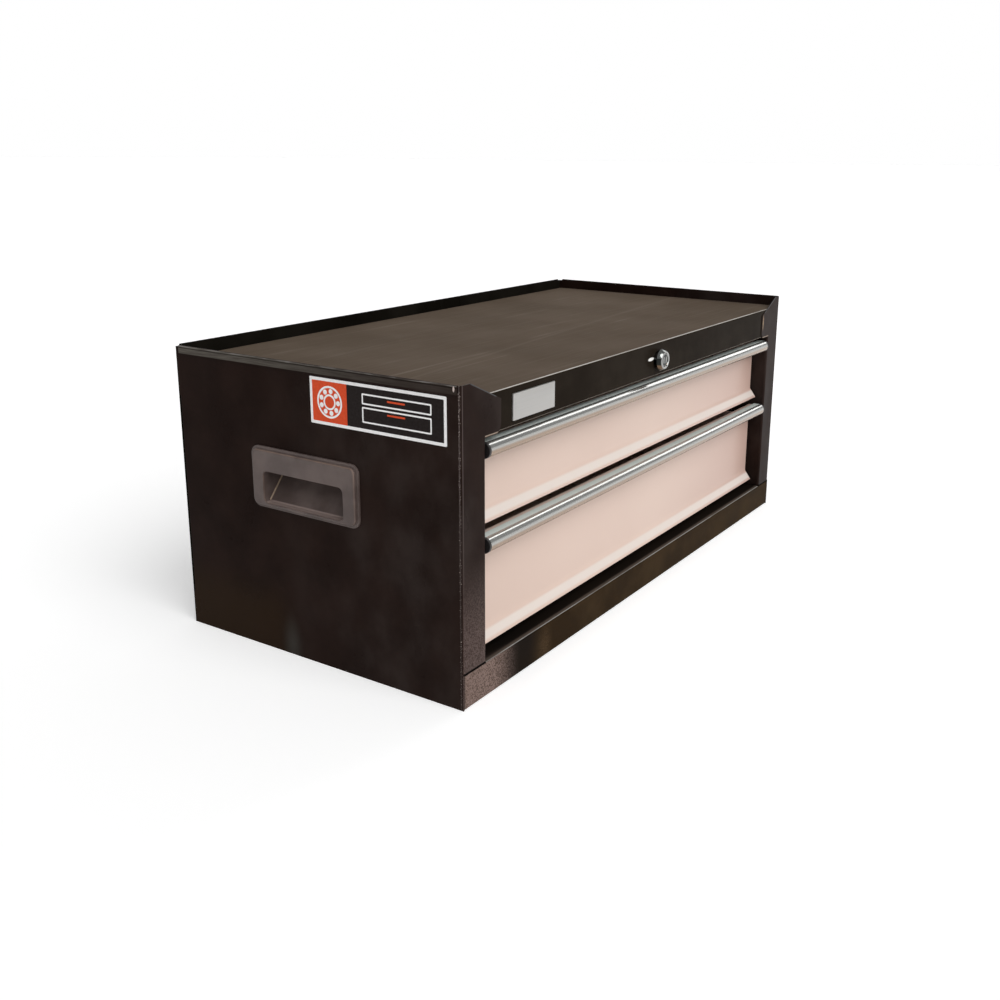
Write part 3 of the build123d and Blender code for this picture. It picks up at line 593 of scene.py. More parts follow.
# a painted highlight along the header's lower fold
painted_foot_highlight = within(tree, height, *past(header_foot, FOOT_LINE), FINE_SOFT)
colour = blend_colours(tree, together(tree, at_front, painted_foot_highlight), colour, HEADER_FOOT_HIGHLIGHT)
painted_lock_glint = spread(tree, spot(tree, place, LOCK_GLINT_PLACE, LOCK_GLINT_REACH), 0.1, 0.5)
colour = blend_colours(tree, painted_lock_glint, colour, LOCK_GLINT)
rougher = combine(tree, "MULTIPLY", on_deck, spread(tree, clouds, *NOISE_RANGE, *DECK_ROUGHER))
header_roughness = shader.inputs["Roughness"].links[0].from_socket
shade(tree, shader, colour=colour, roughness=combine(tree, "ADD", header_roughness, rougher))
top.data.materials.append(material)
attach(top, "cabinet")


# Rear uprights
# Folded strips inside the case that carry the rear ends of the slides, coated with the rest of the case.
def dress(node, material):
    """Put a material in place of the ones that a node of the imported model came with."""
    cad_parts[node].data.materials.clear()
    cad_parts[node].data.materials.append(material)


upright_coat = powder_coat("upright_coat")[0]
for side in ("left", "right"):
    dress(side + "_slide_upright", upright_coat)

# Side grips
# Moulded grips in warm grey-brown plastic with a fine spark-eroded grain, snapped into holes in the walls.
# The bezel's edge, the sill of the mouth and the crease at the pocket's rear end carry painted highlights.
GRIP_DARK = (0.078, 0.055, 0.049)
GRIP_PALE = (0.134, 0.100, 0.090)
GRIP_CLOUDS_PER_METRE = 40.0
GRAIN_PER_METRE = 1400.0
GRAIN_DEPTH = 0.00005
GRIP_ROUGHNESS = (0.42, 0.55)
GRIP_GLOSS = 0.35
GRIP_EDGE_HIGHLIGHT = (0.215, 0.150, 0.118)
HIGHLIGHT_BEHIND_FACE = (0.0012, 0.0004)
GRIP_SILL_HIGHLIGHT = (0.270, 0.205, 0.185)
SILL_Z = 0.13954
SILL_LINE = (-0.0002, 0.0006)
SILL_SOFT = 0.0008
SILL_END = 0.0006
SILL_BEHIND_SLOPE = 0.001
SILL_BEHIND_FACE = 0.0014
GRIP_CREASE_HIGHLIGHT = (0.47, 0.36, 0.27)
SLOPE_FOOT = 0.3278
SLOPE_RISE = 27.0 / 22.8
POCKET_FRONT, POCKET_REAR = -0.040, 0.052
CREASE_BEFORE_REAR = (0.0014, 0.0006)
CREASE_LINE = (-0.0004, 0.0008)
CREASE_SOFT = 0.0009

bezel_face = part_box("right_side_grip")[1].x
for side in ("left", "right"):
    grip = fair_copy(side + "_side_grip")
    material, tree, shader, place = start_finish(side + "_grip_plastic")
    grain = noise(tree, place, GRAIN_PER_METRE, 2.0)
    clouds = noise(tree, place, GRIP_CLOUDS_PER_METRE, 4.0)
    across, along, height = axes(tree, place)
    outward = combine(tree, "ABSOLUTE", across, 0.0)
    colour = blend_colours(tree, spread(tree, clouds, *NOISE_RANGE), GRIP_DARK, GRIP_PALE)
    edge = together(
        tree,
        within(tree, outward, *short_of(bezel_face, HIGHLIGHT_BEHIND_FACE), FINE_SOFT),
        spread(tree, clouds, 0.35, 0.6, 0.2, 0.8),
    )
    colour = blend_colours(tree, edge, colour, GRIP_EDGE_HIGHLIGHT)
    sill = together(
        tree,
        within(tree, height, *past(SILL_Z, SILL_LINE), SILL_SOFT),
        within(tree, outward, SLOPE_FOOT - SILL_BEHIND_SLOPE, bezel_face - SILL_BEHIND_FACE, SILL_END),
        within(tree, along, POCKET_FRONT, POCKET_REAR, EDGE_SOFT),
    )
    colour = blend_colours(tree, sill, colour, GRIP_SILL_HIGHLIGHT)
    slope_z = combine(
        tree, "ADD", combine(tree, "MULTIPLY", outward, -SLOPE_RISE), SILL_Z + SLOPE_FOOT * SLOPE_RISE
    )
    crease = together(
        tree,
        within(tree, combine(tree, "SUBTRACT", height, slope_z), *CREASE_LINE, CREASE_SOFT),
        spread(tree, along, *short_of(POCKET_REAR, CREASE_BEFORE_REAR)),
        spread(tree, outward, SLOPE_FOOT + LINE_END, SLOPE_FOOT),
    )
    colour = blend_colours(tree, crease, colour, GRIP_CREASE_HIGHLIGHT)
    roughness = spread(tree, clouds, *NOISE_RANGE, *GRIP_ROUGHNESS)
    shade(tree, shader, colour=colour, roughness=roughness, gloss=GRIP_GLOSS)
    relief(tree, shader, (grain, GRAIN_DEPTH))
    grip.data.materials.append(material)
    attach(grip, "cabinet")

# Drawer fronts
# Sheet steel with a satin cream coat, with painted light on the lip and painted shade to the right. The top
# edge is folded forward for the pull, and the bottom edge is kicked out in a straight lip.
FRONT_SHEET = 0.0008
FRONT_BEND = 0.0012
LIP_HEIGHT = 0.010
LIP_REACH = 0.0075
LIP_BEND = 0.007
CREAM = (0.672, 0.512, 0.434)
CREAM_PALE = (0.70, 0.54, 0.46)
CREAM_CLOUDS_PER_METRE = 5.0
CREAM_SHADED = (0.565, 0.395, 0.333)
SHADED_X = (0.0, 0.30)
LIP_PAINTED_LIGHT = (0.74, 0.672, 0.620)
LIP_CREAM_BEFORE_FACE = (0.0056, 0.0030)
LIP_CREAM_SOFT = 0.0018
LIP_CREAM_ABOVE = (0.004, 0.002)
CREAM_PEEL_PER_METRE = 700.0
CREAM_PEEL_DEPTH = 0.00004
CREAM_ROUGHNESS = 0.34
CREAM_GLOSS = 0.45


def round_corners(points, radii, steps=8):
    """A line through points whose inner corners are arcs of the given radii, each centred on the line that
    halves its corner, as far out as lets both sides touch it."""
    points = [np.asarray(p, float) for p in points]
    pieces = [points[:1]]
    for before, corner, after, radius in zip(points, points[1:], points[2:], radii):
        towards = (before - corner) / np.linalg.norm(before - corner)
        away = (after - corner) / np.linalg.norm(after - corner)
        half = np.arccos(np.clip(towards @ away, -1, 1)) / 2
        middle = towards + away
        centre = corner + middle / np.linalg.norm(middle) * radius / np.sin(half)
        first, last = corner + towards * radius / np.tan(half), corner + away * radius / np.tan(half)
        turn = np.linspace(0, 1, steps + 1)[:, None]
        chord = first + (last - first) * turn - centre
        pieces.append(centre + chord / np.linalg.norm(chord, axis=1)[:, None] * radius)
    pieces.append(points[-1:])
    return np.vstack(pieces)


def sheet_outline(line, sheet, steps=6):
    """Closed outline of a bent sheet: its middle line moved half a sheet to both sides along the normals,
    with a half round over each edge."""
    tangent = np.gradient(line, axis=0)
    tangent /= np.linalg.norm(tangent, axis=1)[:, None]
    normal = np.stack([-tangent[:, 1], tangent[:, 0]], axis=1)
    turn = np.linspace(0, np.pi, steps + 1)[1:-1, None]
    far = line[-1] + (normal[-1] * np.cos(turn) + tangent[-1] * np.sin(turn)) * sheet / 2
    near = line[0] + (-normal[0] * np.cos(turn) - tangent[0] * np.sin(turn)) * sheet / 2
    return np.vstack([line + normal * sheet / 2, far, (line - normal * sheet / 2)[::-1], near])


def carried_along_x(name, outlines, start, end):
    """Closed outlines in the YZ plane carried straight from one X to a greater one, with both ends closed.
    Seen along X from the greater end, the points run clockwise."""
    vertices, faces, offset = [], [], 0
    for outline in outlines:
        count = len(outline)
        vertices += [np.column_stack([np.full(count, x), outline]) for x in (start, end)]
        step = np.arange(count)
        ahead = np.roll(step, -1)
        walls = np.column_stack([step, step + count, ahead + count, ahead]) + offset
        faces += walls.tolist() + [(step + offset).tolist(), (step[::-1] + count + offset).tolist()]
        offset += 2 * count
    return add_piece(name, np.vstack(vertices), faces, flats_lead=True)


def drawer_coat(name, face_y, lip_top):
    """Cream coat with slow clouds and a fine peel, with painted shade to the right and painted light on the
    slope of the lip.
    """
    material, tree, shader, place = start_finish(name)
    across, along, height = axes(tree, place)
    clouds = noise(tree, place, CREAM_CLOUDS_PER_METRE, 4.0)
    peel = noise(tree, place, CREAM_PEEL_PER_METRE, 2.0)
    colour = blend_colours(tree, spread(tree, clouds, *NOISE_RANGE), CREAM, CREAM_PALE)
    colour = blend_colours(tree, spread(tree, across, *SHADED_X), colour, CREAM_SHADED)
    slope = together(
        tree,
        within(tree, along, *short_of(face_y, LIP_CREAM_BEFORE_FACE), LIP_CREAM_SOFT),
        spread(tree, height, *past(lip_top, LIP_CREAM_ABOVE), 0.0, 0.9),
    )
    colour = blend_colours(tree, slope, colour, LIP_PAINTED_LIGHT)
    shade(tree, shader, colour=colour, roughness=CREAM_ROUGHNESS, gloss=CREAM_GLOSS)
    relief(tree, shader, (peel, CREAM_PEEL_DEPTH))
    return material


drawer_coats = {}
for level in ("upper", "lower"):
    low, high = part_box(level + "_drawer_front")
    face_y = high.y - FRONT_SHEET / 2
    flange_z = high.z - FRONT_SHEET / 2
    tip_z = low.z + FRONT_SHEET * 0.3
    lip_top = tip_z + LIP_HEIGHT
    middle = round_corners(
        [(low.y, flange_z), (face_y, flange_z), (face_y, lip_top), (face_y - LIP_REACH, tip_z)],
        (FRONT_BEND, LIP_BEND),
    )
    front = carried_along_x(level + "_front_sheet", [sheet_outline(middle, FRONT_SHEET)], low.x, high.x)
    drawer_coats[level] = drawer_coat(level + "_drawer_coat", face_y, lip_top)
    front.data.materials.append(drawer_coats[level])
    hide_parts(level + "_drawer_front")
    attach(front, level + "_drawer")

# Drawer pulls
# Polished aluminium extrusions, a bull nose with a slot that is pushed over the front's folded edge.
# The polish has fine draw lines along its length.
PULL_WALL = 0.0012
PULL_ROUND = 0.0061
PULL_HOOK = 0.0095
RIB_START = 0.0026
SLOT = 0.0009
ALUMINIUM = (0.40, 0.40, 0.385)
ALUMINIUM_PALE = (0.46, 0.46, 0.445)
ALUMINIUM_METALLIC = 0.8
POLISH_ROUGHNESS = (0.15, 0.22)
DRAW_LINES_PER_METRE = (3.0, 1500.0, 1500.0)
DRAW_LINE_DEPTH = 0.000004
POLISH_SMEARS_PER_METRE = (5.0, 60.0, 60.0)
ALUMINIUM_TAN_REFLECTION = (0.340, 0.250, 0.185)
WARM_ABOVE_FOOT = (0.0085, 0.0052)
ALUMINIUM_MATT_AND_REFLECTION = (0.72, 0.79, 0.75)
MATT_BELOW_TOP = (0.0006, 0.0002)
MATT_BEHIND_NOSE = (0.0052, 0.0066)


def pull_polish(name, low, high):
    """Aluminium with fine draw lines along X, polished on the nose, a painted tan reflection under it, matt
    on its top with a painted teal-grey reflection.
    """
    material, tree, shader, place = start_finish(name)
    across, along, height = axes(tree, place)
    lines = noise(tree, place, DRAW_LINES_PER_METRE, 3.0)
    smears = noise(tree, place, POLISH_SMEARS_PER_METRE, 3.0)
    colour = blend_colours(tree, spread(tree, lines, *NOISE_RANGE), ALUMINIUM, ALUMINIUM_PALE)
    under = spread(tree, height, *past(low.z, WARM_ABOVE_FOOT))
    colour = blend_colours(tree, under, colour, ALUMINIUM_TAN_REFLECTION)
    flat = together(
        tree,
        spread(tree, height, *short_of(high.z, MATT_BELOW_TOP)),
        spread(tree, along, *past(low.y, MATT_BEHIND_NOSE)),
    )
    colour = blend_colours(tree, flat, colour, ALUMINIUM_MATT_AND_REFLECTION)
    metallic = spread(tree, flat, 0.0, 1.0, ALUMINIUM_METALLIC, 0.0)
    roughness = spread(tree, smears, *NOISE_RANGE, *POLISH_ROUGHNESS)
    shade(tree, shader, colour=colour, metallic=metallic, roughness=roughness)
    relief(tree, shader, (lines, DRAW_LINE_DEPTH))
    return material


for level in ("upper", "lower"):
    low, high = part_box(level + "_drawer_pull")
    nose_y, top_z, foot_z = low.y + PULL_WALL / 2, high.z - PULL_WALL / 2, low.z + PULL_WALL / 2
    nose = round_corners(
        [(high.y, top_z), (nose_y, top_z), (nose_y, foot_z), (low.y + PULL_HOOK, foot_z)],
        (PULL_ROUND, PULL_ROUND),
        20,
    )
    rib_y = low.y + RIB_START
    rib_top = high.z - PULL_WALL - SLOT
    rib_foot = rib_top - PULL_WALL
    rib = np.array([(rib_y, rib_top), (high.y, rib_top), (high.y, rib_foot), (rib_y, rib_foot)])
    pull = carried_along_x(level + "_pull_bar", [sheet_outline(nose, PULL_WALL), rib], low.x, high.x)
    pull.data.materials.append(pull_polish(level + "_pull_polish", low, high))
    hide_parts(level + "_drawer_pull")
    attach(pull, level + "_drawer")

# Pull end caps
# Black moulded plugs pushed into the ends of the pulls, with rounded rims.
CAP_BLACK = (0.012, 0.010, 0.010)
CAP_ROUGHNESS = (0.40, 0.55)
CAP_GRAIN_PER_METRE = 1600.0
CAP_GRAIN_DEPTH = 0.00003
material, tree, shader, place = start_finish("cap_plastic")
grain = noise(tree, place, CAP_GRAIN_PER_METRE, 2.0)
shade(tree, shader, colour=CAP_BLACK, roughness=spread(tree, grain, *NOISE_RANGE, *CAP_ROUGHNESS))
relief(tree, shader, (grain, CAP_GRAIN_DEPTH))
for level in ("upper", "lower"):
    for side in ("left", "right"):
        cap = fair_copy(f"{level}_{side}_pull_cap")
        cap.data.materials.append(material)
        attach(cap, level + "_drawer")

# Drawer pans and sides
# The open trays behind the fronts, folded from sheet and coated with the fronts.
for level in ("upper", "lower"):
    for node in (level + "_drawer_pan", level + "_left_drawer_side", level + "_right_drawer_side"):
        dress(node, drawer_coats[level])

# Ball slides
# Zinc-plated steel rails, runners and cages, roll formed, with polished balls between them.
ZINC_DARK = (0.50, 0.51, 0.52)
ZINC_PALE = (0.66, 0.67, 0.68)
ZINC_ROUGHNESS = (0.28, 0.45)
SPANGLES_PER_METRE = 60.0
ROLL_LINES_PER_METRE = (900.0, 4.0, 900.0)
ROLL_LINE_DEPTH = 0.00001
BALL_STEEL = (0.72, 0.72, 0.73)
BALL_ROUGHNESS = (0.06, 0.14)
BALL_WEAR_PER_METRE = 300.0
slide_zinc, tree, shader, place = start_finish("slide_zinc")
spangle = spread(tree, noise(tree, place, SPANGLES_PER_METRE, 5.0), *NOISE_RANGE)
drawn = noise(tree, place, ROLL_LINES_PER_METRE, 2.0)
colour = blend_colours(tree, spangle, ZINC_DARK, ZINC_PALE)
shade(tree, shader, colour=colour, metallic=1.0, roughness=spread(tree, spangle, 0.0, 1.0, *ZINC_ROUGHNESS))
relief(tree, shader, (drawn, ROLL_LINE_DEPTH))

ball_polish, tree, shader, place = start_finish("ball_polish")
wear = noise(tree, place, BALL_WEAR_PER_METRE, 2.0)
roughness = spread(tree, wear, *NOISE_RANGE, *BALL_ROUGHNESS)
shade(tree, shader, colour=BALL_STEEL, metallic=1.0, roughness=roughness)

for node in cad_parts:
    if node.endswith(("_slide_rail", "_slide_runner", "_ball_cage")):
        dress(node, slide_zinc)
    elif node.endswith("_slide_balls"):
        dress(node, ball_polish)

# Lock
# A chromed zinc head and plug in the header, held by a nut behind it, with a plated steel rod, crank,
# hooked bar, guides and catches inside the case.
HEAD_RADIUS = 0.0108
HEAD_THICK = 0.0051
HEAD_EASE = 0.0005
FACE_RADIUS = 0.0087
FACE_EASE = 0.0004
NECK_RADIUS = 0.0086
NECK_EASE = 0.0004
DISH_RADIUS = 0.0069
DISH_FOOT = 0.0063
DISH_DEPTH = 0.0014
DISH_EASE = 0.0002
BORE_RADIUS = 0.00605
CHROME = (0.345, 0.345, 0.335)
CHROME_SIDE_REFLECTION = (0.270, 0.280, 0.270)
SIDE_BEHIND_FACE = (0.0002, 0.0007)
CHROME_DARK_REFLECTION = (0.022, 0.024, 0.023)
DARK_REFLECTION_RISE = (0.0030, 0.0020)
CHROME_FLOOR_REFLECTION = (0.150, 0.100, 0.066)
FLOOR_REFLECTION_RISE = (-0.0034, -0.0050)
CHROME_ROUGHNESS = (0.10, 0.18)
CHROME_WEAR_PER_METRE = 350.0
CHROME_WEAR_DEPTH = 0.00001
PLUG_PALE = (0.270, 0.272, 0.264)
PLUG_RING_SHADE = (0.020, 0.022, 0.021)
PLUG_RING = (0.0042, 0.0054)
FITTING_DARK = (0.38, 0.37, 0.35)
FITTING_PALE = (0.52, 0.51, 0.49)
FITTING_ROUGHNESS = (0.32, 0.5)
FITTING_CLOUDS_PER_METRE = 80.0


def turned(name, profile, axis, steps=72):
    """A closed profile of radius and Y, turned about a line along Y through an X and a Z. The profile runs
    outward behind, then forward, then inward in front."""
    turn = np.linspace(0, 2 * np.pi, steps, endpoint=False)
    radius, depth = np.asarray(profile, float).T
    x = axis[0] + np.outer(np.cos(turn), radius)
    z = axis[1] + np.outer(np.sin(turn), radius)
    vertices = np.stack([x, np.broadcast_to(depth, x.shape), z], axis=-1).reshape(-1, 3)
    corner = np.arange(steps)[:, None] * len(radius) + np.arange(len(radius))[None, :]
    after, beside = np.roll(corner, -1, axis=0), np.roll(corner, -1, axis=1)
    faces = np.stack([corner, after, np.roll(beside, -1, axis=0), beside], axis=-1).reshape(-1, 4)
    return add_piece(name, vertices, faces)


def lock_chrome(name):
    """A dulled chrome with fine wear, still without its colour."""
    material, tree, shader, place = start_finish(name)
    wear = noise(tree, place, CHROME_WEAR_PER_METRE, 3.0)
    shade(tree, shader, metallic=1.0, roughness=spread(tree, wear, *NOISE_RANGE, *CHROME_ROUGHNESS))
    relief(tree, shader, (wear, CHROME_WEAR_DEPTH))
    return material, tree, shader, place


low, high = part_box("lock_housing")
lock_x, lock_z = (low.x + high.x) / 2, (low.z + high.z) / 2
lock_face = low.y
head_back = lock_face + HEAD_THICK
head_profile = [
    (BORE_RADIUS, high.y),
    (NECK_RADIUS, high.y),
    (NECK_RADIUS, head_back + NECK_EASE),
    (HEAD_RADIUS - HEAD_EASE, head_back),
    (HEAD_RADIUS, head_back - HEAD_EASE),
    (HEAD_RADIUS - HEAD_EASE / 5, head_back - HEAD_EASE * 2),
    (FACE_RADIUS + FACE_EASE / 2, lock_face + FACE_EASE),
    (FACE_RADIUS - FACE_EASE / 4, lock_face + FACE_EASE / 4),
    (FACE_RADIUS - FACE_EASE, lock_face),
    (DISH_RADIUS, lock_face),
    (DISH_RADIUS - DISH_EASE, lock_face + DISH_EASE),
    (DISH_FOOT, lock_face + DISH_DEPTH - DISH_EASE),
    (BORE_RADIUS, lock_face + DISH_DEPTH),
]
head = turned("lock_head", head_profile, (lock_x, lock_z))
material, tree, shader, place = lock_chrome("lock_head_chrome")
across, along, height = axes(tree, place)
rise = combine(tree, "SUBTRACT", height, lock_z)
# painted reflections on the head's side: grey above, dark across the middle and brown from the floor at the
# foot
side_colour = blend_colours(tree, spread(tree, rise, *DARK_REFLECTION_RISE), CHROME_SIDE_REFLECTION, CHROME_DARK_REFLECTION)
side_colour = blend_colours(tree, spread(tree, rise, *FLOOR_REFLECTION_RISE), side_colour, CHROME_FLOOR_REFLECTION)
behind_face = spread(tree, along, *past(lock_face, SIDE_BEHIND_FACE))
shade(tree, shader, colour=blend_colours(tree, behind_face, CHROME, side_colour))
head.data.materials.append(material)
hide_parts("lock_housing")
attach(head, "cabinet")

plug = fair_copy("lock_plug")
material, tree, shader, place = lock_chrome("lock_plug_chrome")
from_axis = offset_length(tree, place, (lock_x, 0.0, lock_z), (1.0, 1000.0, 1.0))
# a painted shade ring on the plug's face
ring = within(tree, from_axis, *PLUG_RING, LINE_SOFT)
shade(tree, shader, colour=blend_colours(tree, ring, PLUG_PALE, PLUG_RING_SHADE))
plug.data.materials.append(material)
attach(plug, "lock_plug")

material, tree, shader, place = start_finish("fitting_plate")
dulled = spread(tree, noise(tree, place, FITTING_CLOUDS_PER_METRE, 4.0), *NOISE_RANGE)
colour = blend_colours(tree, dulled, FITTING_DARK, FITTING_PALE)
roughness = spread(tree, dulled, 0.0, 1.0, *FITTING_ROUGHNESS)
shade(tree, shader, colour=colour, metallic=1.0, roughness=roughness)
for node in (
    "lock_nut", "lock_rod", "lock_crank", "rod_hanger", "lock_bar",
    "upper_bar_guide", "lower_bar_guide", "upper_drawer_catch", "lower_drawer_catch",
):
    dress(node, material)

# Badge plate
# A blank plate of satin metal, glued to the header beside the left post, with softened edges.
BADGE_LEFT, BADGE_RIGHT = -0.2609, -0.1976
BADGE_FOOT, BADGE_HEAD = 0.2270, 0.2495
BADGE_THICK = 0.0016
BADGE_CORNER = 0.0006
BADGE_EDGE = 0.0005
LOCK_PROUD = 0.0086
BADGE_DARK = (0.45, 0.44, 0.425)
BADGE_PALE = (0.49, 0.48, 0.465)
BADGE_ROUGHNESS = (0.34, 0.46)
BRUSHED_PER_METRE = (12.0, 900.0, 2200.0)
BRUSHED_DEPTH = 0.000003

header_y = lock_face + LOCK_PROUD
badge_x, badge_z = (BADGE_LEFT + BADGE_RIGHT) / 2, (BADGE_FOOT + BADGE_HEAD) / 2
badge_skin = []
for depth, inset in (
    (0.0, 0.0),
    (BADGE_THICK - BADGE_EDGE, 0.0),
    (BADGE_THICK - BADGE_EDGE * 0.3, BADGE_EDGE * 0.3),
    (BADGE_THICK, BADGE_EDGE),
):
    x, z = rounded_rectangle(
        BADGE_RIGHT - BADGE_LEFT - 2 * inset, BADGE_HEAD - BADGE_FOOT - 2 * inset, BADGE_CORNER
    ).T
    badge_skin.append(np.column_stack([x + badge_x, np.full(len(x), header_y - depth), z + badge_z]))
badge = stacked_outlines("badge_plate", badge_skin)
material, tree, shader, place = start_finish("badge_satin")
brushed = noise(tree, place, BRUSHED_PER_METRE, 3.0)
colour = blend_colours(tree, spread(tree, brushed, *NOISE_RANGE), BADGE_DARK, BADGE_PALE)
roughness = spread(tree, brushed, *NOISE_RANGE, *BADGE_ROUGHNESS)
shade(tree, shader, colour=colour, metallic=1.0, roughness=roughness)
relief(tree, shader, (brushed, BRUSHED_DEPTH))
badge.data.materials.append(material)
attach(badge, "cabinet")

# Wall label
# A printed vinyl label stuck to the left wall: a white edge round a black field, a red-orange block with a
# ball bearing in it, and a plain drawing of two drawers.
LABEL_REAR, LABEL_FRONT = -0.0043, -0.1446
LABEL_FOOT, LABEL_HEAD = 0.2185, 0.2577
LABEL_THICK = 0.00015
LABEL_CORNER = 0.001
LABEL_EDGE = 0.0026
INK_THICK = 0.00003
INK_CORNER = 0.0005
BLOCK_FRONT = 0.040
OUTER_RACE = (0.0135, 0.0118)
INNER_RACE = (0.0066, 0.0050)
BALL_COUNT = 9
BALL_CIRCLE = 0.0092
BALL_RADIUS = 0.0021
DRAWERS_REAR, DRAWERS_FRONT = 0.056, 0.126
DRAWER_HEIGHTS = ((0.0075, 0.0205), (0.0225, 0.0315))
DRAWER_LINE = 0.0013
HANDLE_REAR, HANDLE_FRONT = 0.082, 0.100
HANDLE_BELOW_HEAD = (0.0045, 0.0030)
HANDLE_CORNER = 0.0004
LABEL_WHITE = (0.95, 0.93, 0.92)
LABEL_BLACK = (0.0105, 0.0062, 0.0056)
LABEL_WARM = (0.68, 0.075, 0.022)
LABEL_ROUGHNESS = (0.30, 0.40)
LABEL_GLOSS = 0.08
MOTTLE_PER_METRE = 500.0
MOTTLE_GAIN, MOTTLE_LIFT = 1.12, 0.004
wall_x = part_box("left_slide_upright")[0].x - CASE_SHEET


def on_wall(points, lift):
    """Points of the label, measured from its lower rear corner towards the front and up, set on the wall."""
    points = np.asarray(points, float)
    x = np.full(len(points), wall_x - lift)
    return np.column_stack([x, LABEL_REAR - points[:, 0], LABEL_FOOT + points[:, 1]])


def ink(name, shapes, layer):
    """Printed films in a layer above the vinyl, skinned all round; each is a closed outline or a band between
    two, raised by one film's thickness."""
    foot = LABEL_THICK + (layer - 1) * INK_THICK
    vertices, faces, offset = [], [], 0
    for shape in shapes:
        outer, *inner = shape if isinstance(shape, tuple) else (shape,)
        rings = [on_wall(outer, foot), on_wall(outer, foot + INK_THICK)]
        for hole in inner:
            rings += [on_wall(hole, foot + INK_THICK), on_wall(hole, foot)]
        step = np.arange(len(outer))
        ahead = np.roll(step, -1)
        starts = np.arange(len(rings)) * len(outer) + offset
        for here, there in zip(starts, np.roll(starts, -1) if inner else starts[1:]):
            faces += np.column_stack([step + here, ahead + here, ahead + there, step + there]).tolist()
        if not inner:
            faces += [(step[::-1] + starts[0]).tolist(), (step + starts[1]).tolist()]
        vertices += rings
        offset += len(outer) * len(rings)
    return add_piece(name, np.vstack(vertices), faces)


def circle(middle, radius, steps=48):
    """A circle round a point of the label."""
    turn = np.linspace(0, 2 * np.pi, steps, endpoint=False)
    return np.column_stack([middle[0] + radius * np.cos(turn), middle[1] + radius * np.sin(turn)])


def block(rear, foot, front, head, corner=INK_CORNER):
    """A rectangle of the label with eased corners."""
    return rounded_rectangle(front - rear, head - foot, corner) + ((rear + front) / 2, (foot + head) / 2)


label_width, label_height = LABEL_REAR - LABEL_FRONT, LABEL_HEAD - LABEL_FOOT
inner_width, inner_height = label_width - LABEL_EDGE, label_height - LABEL_EDGE
label_outline = block(0, 0, label_width, label_height, LABEL_CORNER)
bearing = np.array([(LABEL_EDGE + BLOCK_FRONT) / 2, label_height / 2])
bearing_marks = [tuple(circle(bearing, radius) for radius in race) for race in (OUTER_RACE, INNER_RACE)]
for turn in np.linspace(0, 2 * np.pi, BALL_COUNT, endpoint=False):
    ball = bearing + BALL_CIRCLE * np.array([np.cos(turn), np.sin(turn)])
    bearing_marks.append(circle(ball, BALL_RADIUS, 24))
drawer_marks, handle_marks = [], []
for foot, head in DRAWER_HEIGHTS:
    outer = block(DRAWERS_REAR, foot, DRAWERS_FRONT, head, LABEL_CORNER)
    inner = block(
        DRAWERS_REAR + DRAWER_LINE, foot + DRAWER_LINE, DRAWERS_FRONT - DRAWER_LINE, head - DRAWER_LINE
    )
    drawer_marks.append((outer, inner))
    handle_foot, handle_head = short_of(head, HANDLE_BELOW_HEAD)
    handle_marks.append(block(HANDLE_REAR, handle_foot, HANDLE_FRONT, handle_head, HANDLE_CORNER))
vinyl = stacked_outlines("label_vinyl", [on_wall(label_outline, lift) for lift in (0.0, LABEL_THICK)])
prints = (
    (vinyl, LABEL_WHITE),
    (ink("label_field", [block(LABEL_EDGE, LABEL_EDGE, inner_width, inner_height)], 1), LABEL_BLACK),
    (ink("label_block", [block(LABEL_EDGE, LABEL_EDGE, BLOCK_FRONT, inner_height)], 2), LABEL_WARM),
    (ink("label_bearing", bearing_marks, 3), LABEL_WHITE),
    (ink("label_marks", drawer_marks, 2), LABEL_WHITE),
    (ink("label_handles", handle_marks, 2), LABEL_WARM),
)
for piece, print_colour in prints:
    material, tree, shader, place = start_finish(piece.name + "_print")
    mottle = noise(tree, place, MOTTLE_PER_METRE, 3.0)
    paler = tuple(min(1.0, MOTTLE_GAIN * part + MOTTLE_LIFT) for part in print_colour)
    colour = blend_colours(tree, spread(tree, mottle, *NOISE_RANGE), print_colour, paler)
    roughness = spread(tree, mottle, *NOISE_RANGE, *LABEL_ROUGHNESS)
    shade(tree, shader, colour=colour, roughness=roughness, gloss=LABEL_GLOSS)
    piece.data.materials.append(material)
    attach(piece, "cabinet")

# Studio
# A pale floor without an edge, a white horizon under a dimmer ceiling, one broad soft light above and an
# upright strip light on the right. The camera stands where the photograph was taken.
FLOOR_HALF = 60.0
FLOOR_WHITE = (0.9, 0.9, 0.9)
FLOOR_ROUGHNESS = 0.9
FLOOR_GLOSS = 0.1
FLOOR_LIFT = 0.36
floor_corners = np.array([(-1, -1, 0), (1, -1, 0), (1, 1, 0), (-1, 1, 0)]) * FLOOR_HALF
floor = add_piece("floor", floor_corners, [(0, 1, 2, 3)])
material, tree, shader, place = start_finish("floor_paper")
shade(tree, shader, colour=FLOOR_WHITE, roughness=FLOOR_ROUGHNESS, gloss=FLOOR_GLOSS)
shader.inputs["Emission Color"].default_value = (1.0, 1.0, 1.0, 1.0)
ray = tree.nodes.new("ShaderNodeLightPath").outputs
lift = combine(tree, "MAXIMUM", ray["Is Camera Ray"], ray["Is Glossy Ray"])
lift = combine(tree, "MAXIMUM", lift, ray["Is Transmission Ray"])
tree.links.new(combine(tree, "MULTIPLY", lift, FLOOR_LIFT), shader.inputs["Emission Strength"])
floor.data.materials.append(material)

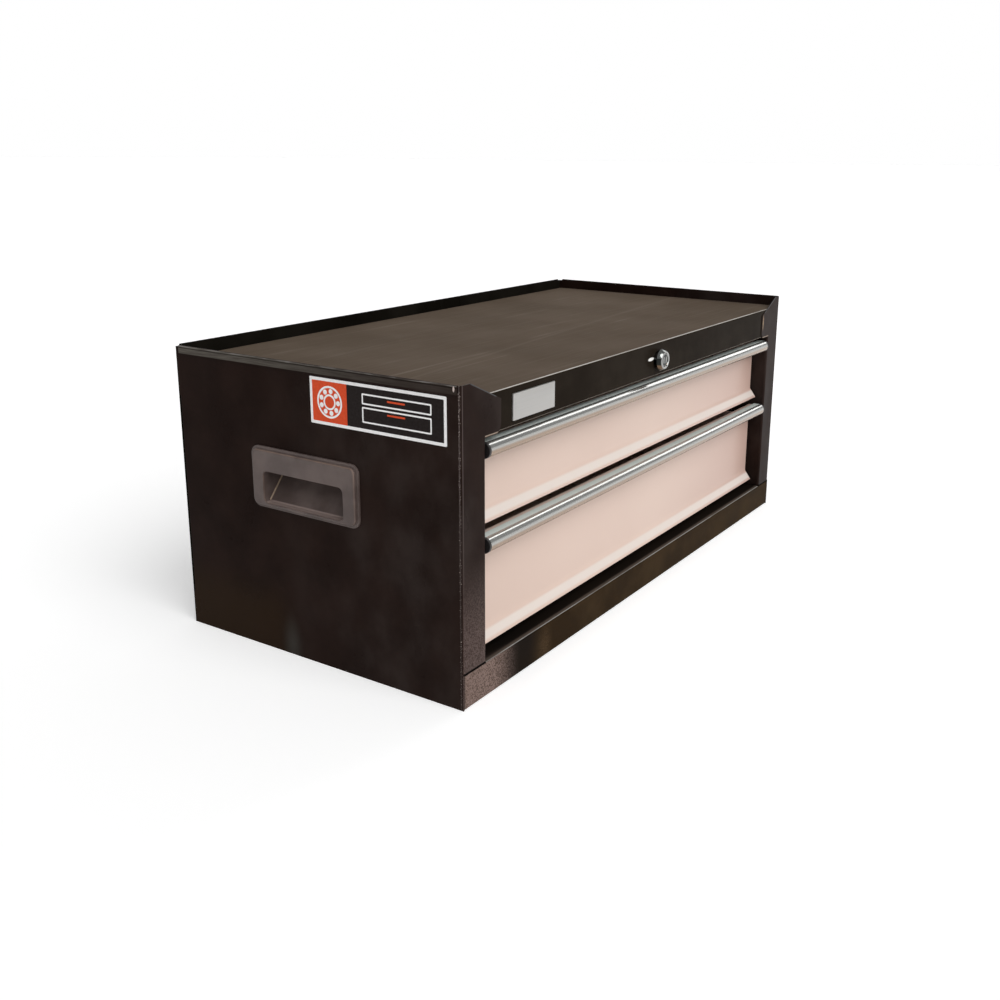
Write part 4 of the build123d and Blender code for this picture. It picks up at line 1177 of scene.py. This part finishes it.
WHITE_UP_TO = 0.12
CEILING_FROM = 0.22
CEILING = 0.3
scene = bpy.context.scene
world = bpy.data.worlds.new("studio")
scene.world = world
world.use_nodes = True
sky = world.node_tree
background = sky.nodes["Background"].inputs
background["Color"].default_value = (1.0, 1.0, 1.0, 1.0)
towards = axes(sky, sky.nodes.new("ShaderNodeTexCoord").outputs["Generated"])
sky.links.new(spread(sky, towards[2], WHITE_UP_TO, CEILING_FROM, 1.0, CEILING), background["Strength"])

SUN_STRENGTH = 2.0
SUN_WIDTH = radians(50)
SUN_AIM = Vector((0.20, 0.72, -0.66))
sun = bpy.data.lights.new("soft_light", "SUN")
sun.energy = SUN_STRENGTH
sun.angle = SUN_WIDTH
light = bpy.data.objects.new("soft_light", sun)
light.rotation_euler = SUN_AIM.to_track_quat("-Z", "Y").to_euler()
scene.collection.objects.link(light)

STRIP_PLACE = Vector((2.0, -0.42, 1.42))
STRIP_TARGET = Vector((0, -0.15, 0.2))
STRIP_SIZE = (0.70, 1.2)
STRIP_WATTS = 7.0
strip = bpy.data.lights.new("strip_light", "AREA")
strip.shape = "RECTANGLE"
strip.size, strip.size_y = STRIP_SIZE
strip.energy = STRIP_WATTS
strip_light = bpy.data.objects.new("strip_light", strip)
strip_light.location = STRIP_PLACE
strip_light.rotation_euler = (STRIP_TARGET - STRIP_PLACE).to_track_quat("-Z", "Y").to_euler()
strip_light.visible_camera = False
scene.collection.objects.link(strip_light)

LENS = 39.452
LENS_SHIFT = (-0.02516, -0.05605)
CAMERA_PLACE = (-0.97284, -0.63272, 0.43505)
CAMERA_TURN = -57.008
CAMERA_DROP = 14.861
CAMERA_ROLL = 0.428
camera_data = bpy.data.cameras.new("camera")
camera_data.lens = LENS
camera_data.shift_x, camera_data.shift_y = LENS_SHIFT
camera = bpy.data.objects.new("camera", camera_data)
camera.matrix_world = (
    Matrix.Translation(CAMERA_PLACE)
    @ Matrix.Rotation(radians(CAMERA_TURN), 4, "Z")
    @ Matrix.Rotation(radians(90 - CAMERA_DROP), 4, "X")
    @ Matrix.Rotation(radians(CAMERA_ROLL), 4, "Z")
)
scene.collection.objects.link(camera)
scene.camera = camera
scene.view_settings.view_transform = "Standard"
